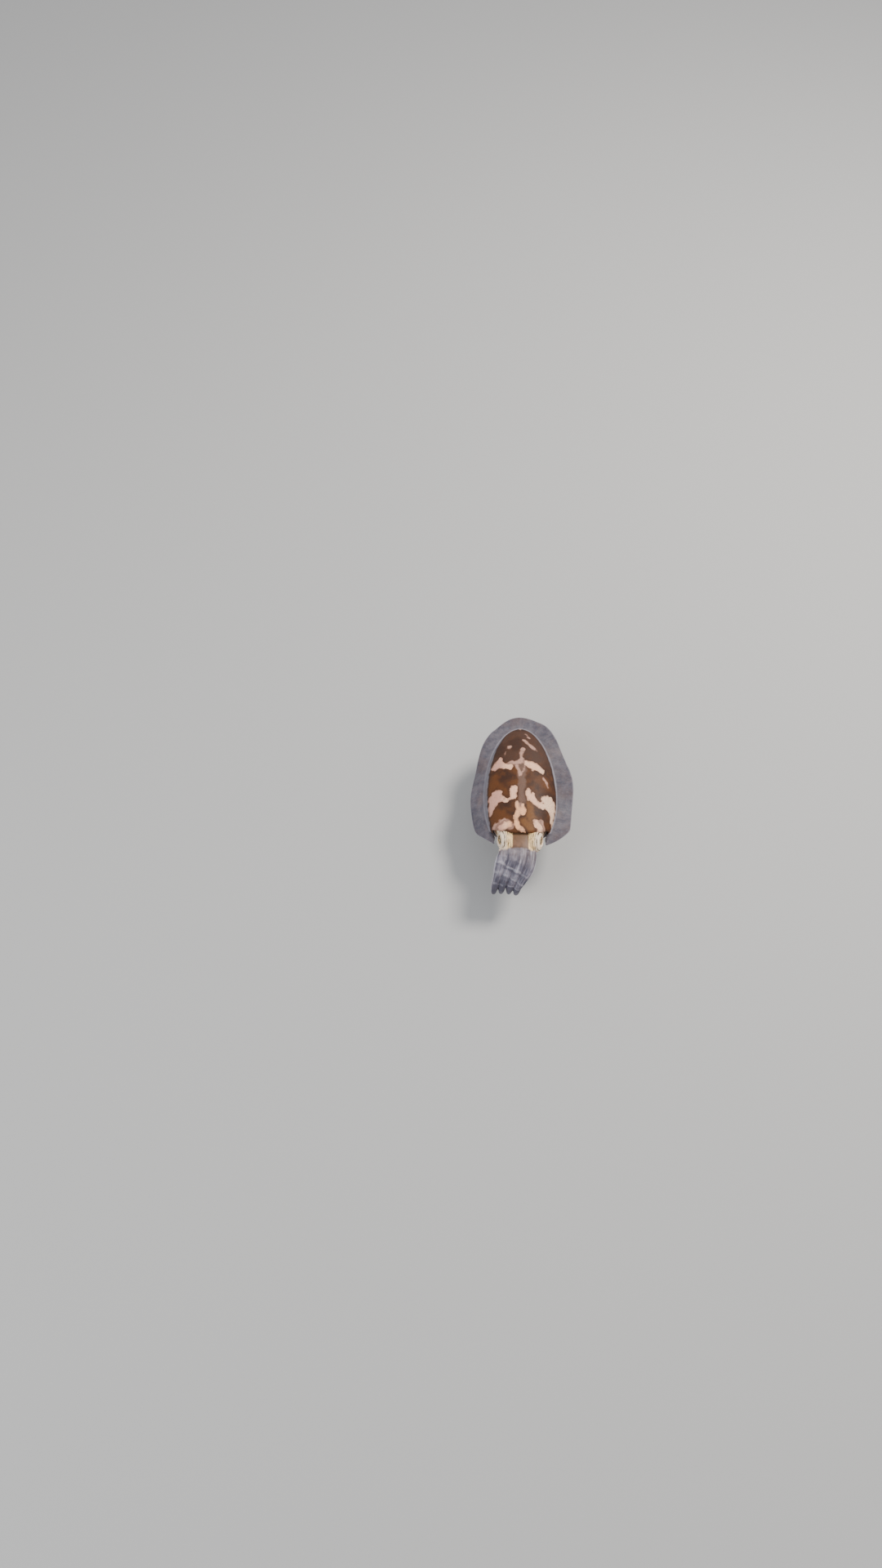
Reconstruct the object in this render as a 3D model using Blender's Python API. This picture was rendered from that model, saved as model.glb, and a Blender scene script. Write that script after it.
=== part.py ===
"""Life-size museum model of a hovering cuttlefish on a plain display stand.

Units are metres, +Z is up and the animal faces -Y, so its left side is +X.
The origin is the centre of the stand's underside, on the floor.
"""

import math

import bmesh
import bpy
import numpy as np
from mathutils import Vector

# Clearance that two separate solids keep where they meet
GAP = 0.0003

# Mantle: its length along the back, its greatest width, and its depth above
# and below the margin line that the fins grow from
MANTLE_LENGTH = 0.170
MANTLE_WIDTH = 0.099
MANTLE_RISE = 0.028
MANTLE_DROP = 0.021
MARGIN_HEIGHT = 0.074
TAIL_Y = 0.100
TAIL_LIFT = 0.003
WIDEST_AT = 0.66
MANTLE_SQUARENESS = 2.15
MANTLE_STATIONS = 20
MANTLE_SIDES = 32

# Free front edge of the mantle, and the hollow that the neck sits in
LOBE_REACH = 0.007
CORNER_RETREAT = 0.0045
VENTRAL_NOTCH = 0.005
COLLAR_DEPTH = 0.013
COLLAR_HALF_WIDTH = 0.0375
COLLAR_RISE = 0.0182
COLLAR_DROP = 0.0158

# Head, measured forward from the neck's back face
HEAD_LENGTH = 0.044
HEAD_BEND = -0.0034
HEAD_SIDES = 32
HEAD_SQUARENESS = 2.25
HEAD_PROFILE = (
    # share of length, half width, rise, drop
    (0.00, 0.0362, 0.0170, 0.0148),
    (0.20, 0.0356, 0.0170, 0.0150),
    (0.36, 0.0310, 0.0169, 0.0153),
    (0.52, 0.0272, 0.0171, 0.0157),
    (0.68, 0.0258, 0.0173, 0.0162),
    (0.84, 0.0256, 0.0172, 0.0167),
    (1.00, 0.0256, 0.0171, 0.0170),
)

# Eyes and the lids that wrap them
EYE_RADIUS = 0.0102
LID_THICKNESS = 0.0017
ORBIT_STRETCH = 1.42
EYE_OFFSET = 0.0193
EYE_FORWARD = 0.0258
EYE_HEIGHT = 0.0076
GAZE = Vector((0.86, -0.22, 0.46)).normalized()
LID_HALF_LENGTH = 0.0078
LID_HALF_HEIGHT = 0.0050

# Funnel under the head
FUNNEL_LENGTH = 0.034
FUNNEL_ROOT = (0.0125, 0.0085)
FUNNEL_MOUTH = (0.0056, 0.0050)
FUNNEL_BORE = 0.0036
FUNNEL_ROOT_DEPTH = 0.0105
FUNNEL_MOUTH_DEPTH = 0.0190

# Bundle of eight arms, in an upper and a lower row of four. All follow one line,
# which droops by these angles, leans to the animal's right, then hangs straighter
ARM_REACH = 0.069
DROOP_END = 104.0
DROOP_DELAY = 1.25
LEAN = 26.0
ARM_PAIRS = (
    # pair, row, length, width, height at the root, and how far aside of the middle it
    # lies at the root and at the end
    (1, 1, 0.062, 0.0123, 0.0108, 0.0064, 0.0051),
    (2, 1, 0.064, 0.0123, 0.0062, 0.0192, 0.0153),
    (3, -1, 0.067, 0.0123, 0.0062, 0.0192, 0.0153),
    (4, -1, 0.069, 0.0123, 0.0108, 0.0064, 0.0051),
)
ARM_TIP_SHARE = 0.10
ARM_KEEL = {1: 0.0004, -1: 0.0034}
ARM_OUTER_SHARE = 0.46
ARM_INNER_SHARE = 0.34
ARM_SIDES = 10
ARM_STATIONS = 8
ARM_SPLIT = 0.48

# Suckers, in two rows along the inner face of each arm
SUCKER_SIDES = 6
SUCKER_RADIUS_SHARE = 0.145
SUCKER_HEIGHT_SHARE = 0.12
SUCKER_ROW_SHARE = 0.20
SUCKER_PITCH_SHARE = 0.42
SUCKER_FIRST = 0.17
SUCKER_LAST = 0.965

# Fins: one skirt on each side, from behind the head round to the tail. The left
# one (1) lies flat, the right one (-1) curls down, so it looks narrower from above
FIN_WIDTH = {1: 0.0240, -1: 0.0182}
TAIL_FIN_WIDTH = 0.0205
FIN_ROOT_THICKNESS = 0.0034
FIN_EDGE_THICKNESS = 0.0009
FIN_FRONT_AT = 1.085
FIN_ROOT_DEPTH = 0.0018
FIN_WAVES = 2.6
FIN_WAVE_HEIGHT = 0.0036
FIN_TILT = {1: 0.0005, -1: -0.0120}
FIN_TAIL_LIFT = 0.0015
FIN_STATIONS = 30
FIN_ACROSS = (0.0, 0.22, 0.5, 0.78, 1.0)

# Mouth, in the middle of the arms
LIP_RADIUS = 0.0054
LIP_LENGTH = 0.0050
BEAK_RADIUS = 0.0026
BEAK_LENGTH = 0.0050

# Display stand
BASE_LENGTH = 0.124
BASE_WIDTH = 0.084
BASE_THICKNESS = 0.008
BASE_EDGE = 0.0012
BASE_SIDES = 56
ROD_RADIUS = 0.0030
ROD_SPACING = 0.066
ROD_MIDDLE_Y = -0.008


def smooth(share):
    """A gentle step from 0 to 1 while share goes from 0 to 1."""
    share = min(1.0, max(0.0, share))
    return share * share * (3 - 2 * share)


def between(low, high, share):
    return low + (high - low) * share


def clear_scene():
    for obj in list(bpy.data.objects):
        bpy.data.objects.remove(obj)


def finish_of(name, colour, roughness, metallic=0.0):
    material = bpy.data.materials.new(name)
    material.use_nodes = True
    shader = material.node_tree.nodes["Principled BSDF"]
    shader.inputs["Base Color"].default_value = (*colour, 1.0)
    shader.inputs["Roughness"].default_value = roughness
    shader.inputs["Metallic"].default_value = metallic
    return material


def object_from(name, mesh_builder, material=None):
    """Turns a finished bmesh into a named object, faces outward and shaded smooth."""
    bmesh.ops.recalc_face_normals(mesh_builder, faces=mesh_builder.faces)
    mesh = bpy.data.meshes.new(name)
    mesh_builder.to_mesh(mesh)
    mesh_builder.free()
    mesh.shade_smooth()
    if material:
        mesh.materials.append(material)
    obj = bpy.data.objects.new(name, mesh)
    bpy.context.scene.collection.objects.link(obj)
    return obj


def add_loft(mesh_builder, rings, start=None, end=None):
    """Adds a closed skin over rings of points. Each end closes on a point, which
    is the ring's own middle unless start or end gives another."""
    rows = [[mesh_builder.verts.new(point) for point in ring] for ring in rings]
    sides = len(rows[0])
    for near, far in zip(rows, rows[1:]):
        for i in range(sides):
            j = (i + 1) % sides
            mesh_builder.faces.new((near[i], near[j], far[j], far[i]))
    for row, tip in ((rows[0], start), (rows[-1], end)):
        if tip is None:
            tip = sum((corner.co for corner in row), Vector()) / sides
        centre = mesh_builder.verts.new(tip)
        for i in range(sides):
            mesh_builder.faces.new((row[i], row[(i + 1) % sides], centre))


def loft(name, rings, material=None, start=None, end=None):
    mesh_builder = bmesh.new()
    add_loft(mesh_builder, rings, start, end)
    return object_from(name, mesh_builder, material)


def grown(obj, distance):
    """A hidden copy of obj with every point moved out along its normal."""
    copy = obj.copy()
    copy.data = obj.data.copy()
    normals = [vertex.normal.copy() for vertex in copy.data.vertices]
    for vertex, normal in zip(copy.data.vertices, normals):
        vertex.co += normal * distance
    bpy.context.scene.collection.objects.link(copy)
    return copy


def keep_largest_surface(obj):
    """Leaves only the closed surface that holds the most, without loose scraps."""
    mesh_builder = bmesh.new()
    mesh_builder.from_mesh(obj.data)
    bmesh.ops.triangulate(mesh_builder, faces=mesh_builder.faces)
    unseen = set(mesh_builder.verts)
    islands = []
    while unseen:
        island = set()
        edge_of_island = [unseen.pop()]
        while edge_of_island:
            vertex = edge_of_island.pop()
            island.add(vertex)
            for edge in vertex.link_edges:
                other = edge.other_vert(vertex)
                if other in unseen:
                    unseen.remove(other)
                    edge_of_island.append(other)
        faces = {face for vertex in island for face in vertex.link_faces}
        volume = sum(
            face.verts[0].co.dot(face.verts[1].co.cross(face.verts[2].co)) / 6 for face in faces
        )
        islands.append((volume, island))
    largest = max(islands, key=lambda found: found[0])[1]
    loose = [vertex for vertex in mesh_builder.verts if vertex not in largest]
    bmesh.ops.delete(mesh_builder, geom=loose, context="VERTS")
    mesh_builder.to_mesh(obj.data)
    mesh_builder.free()
    obj.data.shade_smooth()


def combine(obj, operation, others, solver="EXACT"):
    """Joins others to obj, or cuts them from it, in one Boolean, then removes them."""
    pieces = bpy.data.collections.new(obj.name + "_pieces")
    bpy.context.scene.collection.children.link(pieces)
    for other in others:
        bpy.context.scene.collection.objects.unlink(other)
        pieces.objects.link(other)
    modifier = obj.modifiers.new("combine", "BOOLEAN")
    modifier.operation = operation
    modifier.operand_type = "COLLECTION"
    modifier.collection = pieces
    modifier.solver = solver
    bpy.context.view_layer.objects.active = obj
    bpy.ops.object.modifier_apply(modifier=modifier.name)
    for other in others:
        bpy.data.objects.remove(other)
    bpy.data.collections.remove(pieces)
    keep_largest_surface(obj)


def section(half_width, rise, drop, squareness, sides):
    """Points (x, z, angle) round a soft oval, flatter below than above."""
    points = []
    for i in range(sides):
        angle = 2 * math.pi * i / sides
        across, up = math.cos(angle), math.sin(angle)
        x = half_width * math.copysign(abs(across) ** (2 / squareness), across)
        z = (rise if up > 0 else drop) * math.copysign(abs(up) ** (2 / squareness), up)
        points.append((x, z, angle))
    return points


# Mantle


def mantle_half_width(t):
    """Half the plan width at share t of the length, from the tail's tip forward."""
    if t < WIDEST_AT:
        share = (1 - (1 - t / WIDEST_AT) ** 2) ** 0.53
    else:
        share = 1 - 0.18 * ((t - WIDEST_AT) / (1 - WIDEST_AT)) ** 2.2
    return share * MANTLE_WIDTH / 2


def mantle_rise(t):
    peak = 0.60
    if t < peak:
        return MANTLE_RISE * (1 - (1 - t / peak) ** 2) ** 0.56
    return MANTLE_RISE * (1 - 0.22 * ((t - peak) / (1 - peak)) ** 2)


def mantle_drop(t):
    deepest = 0.55
    if t < deepest:
        return MANTLE_DROP * (1 - (1 - t / deepest) ** 2) ** 0.6
    return MANTLE_DROP * (1 - 0.10 * ((t - deepest) / (1 - deepest)) ** 2)


def margin_height(t):
    return MARGIN_HEIGHT + TAIL_LIFT * (1 - t) ** 2


def along_body(t):
    """World y at share t of the mantle's length from the tail's tip."""
    return TAIL_Y - MANTLE_LENGTH * t


def edge_shift(angle, t):
    """How far back the free edge lies: it has a lobe over the neck, rounded corners
    at the sides and a notch below."""
    up = math.sin(angle)
    lobe = LOBE_REACH * max(0.0, up) ** 2.5
    corner = CORNER_RETREAT * math.cos(angle) ** 4
    notch = VENTRAL_NOTCH * max(0.0, -up) ** 3
    return (notch + corner - lobe) * smooth((t - 0.74) / 0.26)


def mantle_ring(t):
    outline = section(
        mantle_half_width(t), mantle_rise(t), mantle_drop(t), MANTLE_SQUARENESS, MANTLE_SIDES
    )
    return [
        Vector((x, along_body(t) + edge_shift(angle, t), margin_height(t) + z))
        for x, z, angle in outline
    ]


def collar_ring(scale, y, follow_edge):
    """A ring of the hollow that the neck sits in."""
    outline = section(
        COLLAR_HALF_WIDTH * scale,
        COLLAR_RISE * scale,
        COLLAR_DROP * scale,
        HEAD_SQUARENESS,
        MANTLE_SIDES,
    )
    return [
        Vector((x, y + (edge_shift(angle, 1.0) if follow_edge else 0.0), MARGIN_HEIGHT + z))
        for x, z, angle in outline
    ]


def mantle_stations():
    """Shares of the length, closer together at the round tail."""
    return [
        (1 - math.cos(math.pi / 2 * (i + 0.6) / (MANTLE_STATIONS + 0.6))) ** 1.0
        for i in range(MANTLE_STATIONS + 1)
    ]


def make_mantle(material):
    rings = [mantle_ring(t) for t in mantle_stations()]
    front = along_body(1.0)
    lip = [
        outer.lerp(inner, 0.30) + Vector((0, -0.0012, 0))
        for outer, inner in zip(rings[-1], collar_ring(1.0, front, True))
    ]
    rings.append(lip)
    rings.append(collar_ring(1.02, front - 0.0004, True))
    rings.append(collar_ring(1.0, front + COLLAR_DEPTH, False))
    tail = Vector((0, TAIL_Y, margin_height(0)))
    return loft("mantle", rings, material, start=tail)


# Head, eyes and mouth


def neck_y():
    return along_body(1.0) + COLLAR_DEPTH - GAP


def crown_y():
    """World y of the flat front of the head, where the arms spring."""
    return neck_y() - HEAD_LENGTH


def head_bend(share):
    """How far the front of the head turns aside, towards the animal's right."""
    return HEAD_BEND * smooth((share - 0.40) / 0.60)


def make_head(material):
    rings = []
    for share, half_width, rise, drop in HEAD_PROFILE:
        outline = section(half_width, rise, drop, HEAD_SQUARENESS, HEAD_SIDES)
        y = neck_y() - HEAD_LENGTH * share
        rings.append(
            [Vector((x + head_bend(share), y, MARGIN_HEIGHT + z)) for x, z, _ in outline]
        )
    return loft("head", rings, material)


def ball(name, centre, radius, material=None, rings=14, segments=22):
    mesh_builder = bmesh.new()
    bmesh.ops.create_uvsphere(
        mesh_builder, u_segments=segments, v_segments=rings, radius=radius
    )
    bmesh.ops.translate(mesh_builder, verts=mesh_builder.verts, vec=centre)
    return object_from(name, mesh_builder, material)


def eye_centre(side):
    return Vector((side * EYE_OFFSET, neck_y() - EYE_FORWARD, MARGIN_HEIGHT + EYE_HEIGHT))


def lid_opening(side):
    """An oval plug, from the middle of the eye outward, that opens the lids."""
    gaze = Vector((side * GAZE.x, GAZE.y, GAZE.z))
    along = gaze.cross(Vector((0, 0, 1))).normalized()
    above = along.cross(gaze).normalized()
    sides = 16
    rings = []
    for reach in (0.25 * EYE_RADIUS, 2.0 * EYE_RADIUS):
        middle = eye_centre(side) + gaze * reach
        rings.append(
            [
                middle
                + along * LID_HALF_LENGTH * math.cos(2 * math.pi * i / sides)
                + above * LID_HALF_HEIGHT * math.sin(2 * math.pi * i / sides)
                for i in range(sides)
            ]
        )
    return loft("lid_opening", rings)


def make_orbit(side):
    """The dome over an eye, longer fore and aft than the eye itself."""
    orbit = ball("orbit", Vector(), EYE_RADIUS + GAP + LID_THICKNESS)
    for vertex in orbit.data.vertices:
        vertex.co.y *= ORBIT_STRETCH
        vertex.co += eye_centre(side)
    return orbit


def raise_the_orbits(head):
    """Gives the head its two domed orbits."""
    combine(head, "UNION", [make_orbit(side) for side in (1, -1)])


def open_the_sockets(head):
    """Hollows the orbits and parts the lids over the eyes."""
    sockets = [ball("socket", eye_centre(side), EYE_RADIUS + GAP) for side in (1, -1)]
    openings = [lid_opening(side) for side in (1, -1)]
    combine(head, "DIFFERENCE", sockets + openings)


def make_mouth(material):
    """Round lips on the head's front, with the tip of the beak between them."""
    sides = 14
    profile = (
        # radius and reach in front of the head
        (LIP_RADIUS, GAP),
        (LIP_RADIUS * 1.04, LIP_LENGTH * 0.45),
        (LIP_RADIUS * 0.80, LIP_LENGTH * 0.92),
        (LIP_RADIUS * 0.55, LIP_LENGTH),
        (BEAK_RADIUS, LIP_LENGTH * 0.72),
    )
    rings = [
        [
            Vector(
                (
                    HEAD_BEND + radius * math.cos(2 * math.pi * i / sides),
                    crown_y() - reach,
                    MARGIN_HEIGHT + radius * math.sin(2 * math.pi * i / sides),
                )
            )
            for i in range(sides)
        ]
        for radius, reach in profile
    ]
    tip = Vector((HEAD_BEND, crown_y() - LIP_LENGTH - BEAK_LENGTH * 0.4, MARGIN_HEIGHT))
    return loft("mouth", rings, material, end=tip)


def funnel_middle(share):
    depth = between(FUNNEL_ROOT_DEPTH, FUNNEL_MOUTH_DEPTH, share ** 0.8)
    return Vector((0, neck_y() - FUNNEL_LENGTH * share, MARGIN_HEIGHT - depth))


def funnel_ring(share, scale=1.0):
    sides = 18
    half_width = between(FUNNEL_ROOT[0], FUNNEL_MOUTH[0], share ** 0.8) * scale
    half_depth = between(FUNNEL_ROOT[1], FUNNEL_MOUTH[1], share ** 0.8) * scale
    middle = funnel_middle(share)
    return [
        middle
        + Vector(
            (
                half_width * math.cos(2 * math.pi * i / sides),
                0,
                half_depth * math.sin(2 * math.pi * i / sides),
            )
        )
        for i in range(sides)
    ]


def make_funnel(material):
    """A soft tube whose mouth is open a little way in."""
    rings = [funnel_ring(share) for share in (0.0, 0.25, 0.5, 0.75, 1.0)]
    bore = FUNNEL_BORE / FUNNEL_MOUTH[0]
    rings.append(funnel_ring(1.0, bore))
    rings.append(funnel_ring(0.80, bore * 0.7))
    return loft("funnel", rings, material)


# Arms


def bundle_line(steps=96):
    """Points of the curve that the arm bundle follows, each with its heading, the
    direction across the bundle and the direction out of its upper side."""
    point = Vector((HEAD_BEND, crown_y() - GAP, MARGIN_HEIGHT))
    line = []
    for i in range(steps + 1):
        share = i / steps
        droop = math.radians(DROOP_END * share ** DROOP_DELAY)
        lean = LEAN * smooth(share / 0.30) * (1 - 0.9 * smooth((share - 0.42) / 0.42))
        lean = math.radians(lean)
        downward = Vector((0, -math.cos(droop), -math.sin(droop)))
        heading = Vector((-math.sin(lean), 0, 0)) + downward * math.cos(lean)
        across = Vector((math.cos(lean), 0, 0)) + downward * math.sin(lean)
        line.append((point, heading, across, heading.cross(across)))
        point = point + heading * (ARM_REACH / steps)
    return line


BUNDLE = bundle_line()


def on_bundle(distance):
    """The bundle's point, heading, across and upward at a distance from the head."""
    place = min(max(distance / ARM_REACH, 0.0), 1.0) * (len(BUNDLE) - 1)
    low = min(int(place), len(BUNDLE) - 2)
    return [a.lerp(b, place - low) for a, b in zip(BUNDLE[low], BUNDLE[low + 1])]


class Arm:
    """One arm of a pair, with its own length, width and place in the bundle."""

    def __init__(self, side, pair, row, length, width, root_height, root_offset, end_offset):
        self.name = f"arm_{'left' if side > 0 else 'right'}_{pair}"
        self.side = side
        self.row = row
        self.length = length
        self.width = width
        self.root_height = root_height
        self.root_offset = root_offset
        self.end_offset = end_offset
        # Each real tip strays a little from its neighbours
        self.stray = 0.0005 * math.sin(2.1 * pair + 0.9 * side)

    def width_at(self, s):
        """Narrower past the root, then even, then quickly down to a fine tip."""
        return self.width * (1 - 0.21 * smooth((s - 0.12) / 0.55) - (0.79 - ARM_TIP_SHARE) * s ** 8)

    def keel(self, s):
        """How far the low keel on the outer flank of the outermost arms stands out."""
        if self.root_offset < 0.012:
            return 0.0
        return ARM_KEEL[self.side] * math.sin(math.pi * min(s / 0.62, 1.0))

    def middle(self, s):
        point, _, across, upward = on_bundle(s * self.length)
        reach = smooth((s * self.length / ARM_REACH - 0.10) / 0.60)
        offset = between(self.root_offset, self.end_offset, reach) + self.stray * s ** 3
        inner = (ARM_INNER_SHARE + SUCKER_HEIGHT_SHARE) * self.width_at(s) + GAP
        height = max(inner, between(self.root_height, inner, smooth(s * 1.6)))
        return point + across * (self.side * offset) + upward * (self.row * height)

    def heading(self, s):
        if s < 0.02:
            return Vector((0, -1, 0))
        step = 0.01
        return (self.middle(min(s + step, 1.0)) - self.middle(s - step)).normalized()

    def frame(self, s):
        """Heading, the direction out of the bundle, and the direction across."""
        heading = self.heading(s)
        upward = on_bundle(s * self.length)[3] * self.row
        outward = (upward - heading * upward.dot(heading)).normalized()
        return heading, outward, heading.cross(outward)

    def ring(self, s):
        """The arm's section: round on the outside, flatter on the sucker side."""
        _, outward, across = self.frame(s)
        width = self.width_at(s)
        outer = -self.side * self.row
        points = []
        for i in range(ARM_SIDES):
            angle = 2 * math.pi * (i + 0.5) / ARM_SIDES
            side, up = math.cos(angle), math.sin(angle)
            depth = ARM_OUTER_SHARE if up > 0 else ARM_INNER_SHARE
            keel = outer * self.keel(s) * max(0.0, outer * side) ** 4
            points.append(
                self.middle(s)
                + across * (width / 2 * side + keel)
                + outward * (width * depth * up)
            )
        return points

    def sucker(self, s, row):
        """A short cup, sunk into the arm's inner face, dished on top."""
        heading, outward, across = self.frame(s)
        width = self.width_at(s)
        radius = width * SUCKER_RADIUS_SHARE
        lean = SUCKER_ROW_SHARE * 2 * row
        surface = -width * ARM_INNER_SHARE * math.sqrt(1 - lean * lean)
        foot = self.middle(s) + across * (row * width * SUCKER_ROW_SHARE)
        rings = []
        for depth, scale in ((0.15, 0.90), (-SUCKER_HEIGHT_SHARE, 1.08)):
            centre = foot + outward * (surface + width * depth)
            rings.append(
                [
                    centre
                    + across * (radius * scale * math.cos(2 * math.pi * i / SUCKER_SIDES))
                    + heading * (radius * scale * math.sin(2 * math.pi * i / SUCKER_SIDES))
                    for i in range(SUCKER_SIDES)
                ]
            )
        cup = foot + outward * (surface - width * SUCKER_HEIGHT_SHARE * 0.45)
        return loft("sucker", rings, end=cup)

    def sucker_places(self):
        """Shares of the length and rows, in turn left and right, closer at the tip."""
        places = []
        s, row = SUCKER_FIRST, 1
        while s < SUCKER_LAST:
            places.append((s, row))
            s += SUCKER_PITCH_SHARE * self.width_at(s) / self.length
            row = -row
        return places

    def half_sucker(self, s):
        """Half a sucker's length along the arm, as a share of the arm's length."""
        return self.width_at(s) * SUCKER_RADIUS_SHARE * 1.1 / self.length

    def make(self, material):
        """Two lengths, each fused with its own suckers, with a gap between them."""
        split_gap = GAP / 2 / self.length
        lengths = (
            ("root", 0.0, ARM_SPLIT - split_gap),
            ("tip", ARM_SPLIT + split_gap, 1.0),
        )
        for label, start, end in lengths:
            even = [i / (ARM_STATIONS - 1) for i in range(ARM_STATIONS)]
            if label == "tip":
                even = [share ** 0.8 for share in even]
            shares = [between(start, end, share) for share in even]
            tip = None
            if label == "tip":
                tip = self.middle(1.0) + self.heading(1.0) * self.width_at(1.0) * 0.6
            obj = loft(f"{self.name}_{label}", [self.ring(s) for s in shares], material, end=tip)
            suckers = [
                self.sucker(s, row)
                for s, row in self.sucker_places()
                if start + self.half_sucker(s) < s < end - self.half_sucker(s)
            ]
            combine(obj, "UNION", suckers)


def make_arms(material):
    for sizes in ARM_PAIRS:
        for side in (1, -1):
            Arm(side, *sizes).make(material)


# Fins


def fin_line():
    """Even shares along the fin's root: arrays of mantle share, points and normals,
    from the front of the fin to the middle of the tail."""
    fine = np.linspace(math.sqrt(FIN_FRONT_AT), 0.0, 400) ** 2
    root = np.array([(mantle_half_width(t), along_body(t)) for t in fine])
    along = np.gradient(root, axis=0)
    along /= np.linalg.norm(along, axis=1)[:, None]
    normal = np.stack([along[:, 1], -along[:, 0]], axis=1)
    normal[-1] = (0.0, 1.0)
    halfway = root + normal * TAIL_FIN_WIDTH / 2
    travelled = np.concatenate(
        [[0.0], np.cumsum(np.linalg.norm(np.diff(halfway, axis=0), axis=1))]
    )
    shares = np.linspace(0, travelled[-1], FIN_STATIONS)
    index = np.interp(shares, travelled, np.arange(len(fine)))

    def pick(values):
        return np.interp(index, np.arange(len(fine)), values)

    normals = np.stack([pick(normal[:, 0]), pick(normal[:, 1])], axis=1)
    normals /= np.linalg.norm(normals, axis=1)[:, None]
    return pick(fine), np.stack([pick(root[:, 0]), pick(root[:, 1])], axis=1), normals


def fin_width(side, share):
    """Seen from above: rises from a narrow front end, then runs even to the tail,
    where both sides meet at one width."""
    even = between(FIN_WIDTH[side], TAIL_FIN_WIDTH, smooth((share - 0.55) / 0.45))
    return even * (1 - 0.93 * (1 - min(share / 0.145, 1.0)) ** 1.4)


def fin_surface(side):
    """The fin's middle surface as rows of points, one row for each station."""
    mantle_share, roots, normals = fin_line()
    phase = 0.4 if side > 0 else 2.3
    rows = []
    for i, (t, root, normal) in enumerate(zip(mantle_share, roots, normals)):
        share = i / (FIN_STATIONS - 1)
        swell = smooth(share / 0.14) * smooth((1 - share) / 0.16)
        wave = math.sin(2 * math.pi * FIN_WAVES * share + phase) * swell
        tilt = between(FIN_TILT[side], FIN_TAIL_LIFT, smooth((share - 0.45) / 0.5))
        tilt *= smooth(share / 0.2)
        row = []
        for across in FIN_ACROSS:
            reach = across * fin_width(side, share) * (1 + 0.05 * wave)
            if across == 0:
                # The free front end is drawn out to a point
                reach -= FIN_ROOT_DEPTH * (1.5 * smooth(share / 0.04) - 0.5 * smooth(share / 0.1))
            height = tilt * across ** 1.5 + FIN_WAVE_HEIGHT * wave * across ** 1.4
            x = max(root[0] + normal[0] * reach, 0.0) + GAP / 2
            row.append(
                Vector((side * x, root[1] + normal[1] * reach, margin_height(t) + height))
            )
        rows.append(row)
    return rows


def make_fin(side, mantle, material):
    """A tapered flap, each face split into the same triangles, cut clear of the mantle."""
    rows = fin_surface(side)
    mesh_builder = bmesh.new()
    top, under = [], []
    for i, row in enumerate(rows):
        top_row, under_row = [], []
        for j, point in enumerate(row):
            along = rows[min(i + 1, len(rows) - 1)][j] - rows[max(i - 1, 0)][j]
            out = row[min(j + 1, len(row) - 1)] - row[max(j - 1, 0)]
            normal = along.cross(out).normalized()
            if normal.z < 0:
                normal.negate()
            if i in (0, len(rows) - 1):
                normal = Vector((0, 0, 1)) if i else Vector((0, normal.y, normal.z)).normalized()
            thickness = between(
                FIN_ROOT_THICKNESS, FIN_EDGE_THICKNESS, FIN_ACROSS[j] ** 0.8
            )
            # The front end thins out, where it runs on past the mantle
            thickness *= 0.35 + 0.65 * smooth(i / (len(rows) - 1) / 0.10)
            top_row.append(mesh_builder.verts.new(point + normal * thickness / 2))
            under_row.append(mesh_builder.verts.new(point - normal * thickness / 2))
        top.append(top_row)
        under.append(under_row)
    last = len(FIN_ACROSS) - 1
    for i in range(len(rows) - 1):
        for j in range(last):
            for face in (top, under):
                mesh_builder.faces.new((face[i][j], face[i + 1][j], face[i + 1][j + 1]))
                mesh_builder.faces.new((face[i][j], face[i + 1][j + 1], face[i][j + 1]))
        for j in (0, last):
            mesh_builder.faces.new((top[i][j], top[i + 1][j], under[i + 1][j], under[i][j]))
    for i in (0, len(rows) - 1):
        for j in range(last):
            mesh_builder.faces.new((top[i][j], top[i][j + 1], under[i][j + 1], under[i][j]))
    name = "fin_left" if side > 0 else "fin_right"
    fin = object_from(name, mesh_builder, material)
    combine(fin, "DIFFERENCE", [grown(mantle, GAP)])
    return fin


# Display stand


def make_base(material):
    """A flat oval plate with a softened upper edge."""
    rings = []
    for inset, height in (
        (0.0, 0.0),
        (0.0, BASE_THICKNESS - BASE_EDGE),
        (BASE_EDGE * 0.3, BASE_THICKNESS - BASE_EDGE * 0.3),
        (BASE_EDGE, BASE_THICKNESS),
    ):
        half_width = BASE_WIDTH / 2 - inset
        half_length = BASE_LENGTH / 2 - inset
        turns = [2 * math.pi * i / BASE_SIDES for i in range(BASE_SIDES)]
        rings.append(
            [
                Vector((half_width * math.cos(turn), half_length * math.sin(turn), height))
                for turn in turns
            ]
        )
    return loft("stand_base", rings, material)


def make_rod(name, y, mantle, material):
    """A round rod from the plate up to the belly, shaped to it with a small gap."""
    sides = 16
    rings = [
        [
            Vector(
                (
                    ROD_RADIUS * math.cos(2 * math.pi * i / sides),
                    y + ROD_RADIUS * math.sin(2 * math.pi * i / sides),
                    height,
                )
            )
            for i in range(sides)
        ]
        for height in (BASE_THICKNESS + GAP, MARGIN_HEIGHT - 0.006)
    ]
    rod = loft(name, rings, material)
    combine(rod, "DIFFERENCE", [grown(mantle, GAP)])
    return rod


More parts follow.
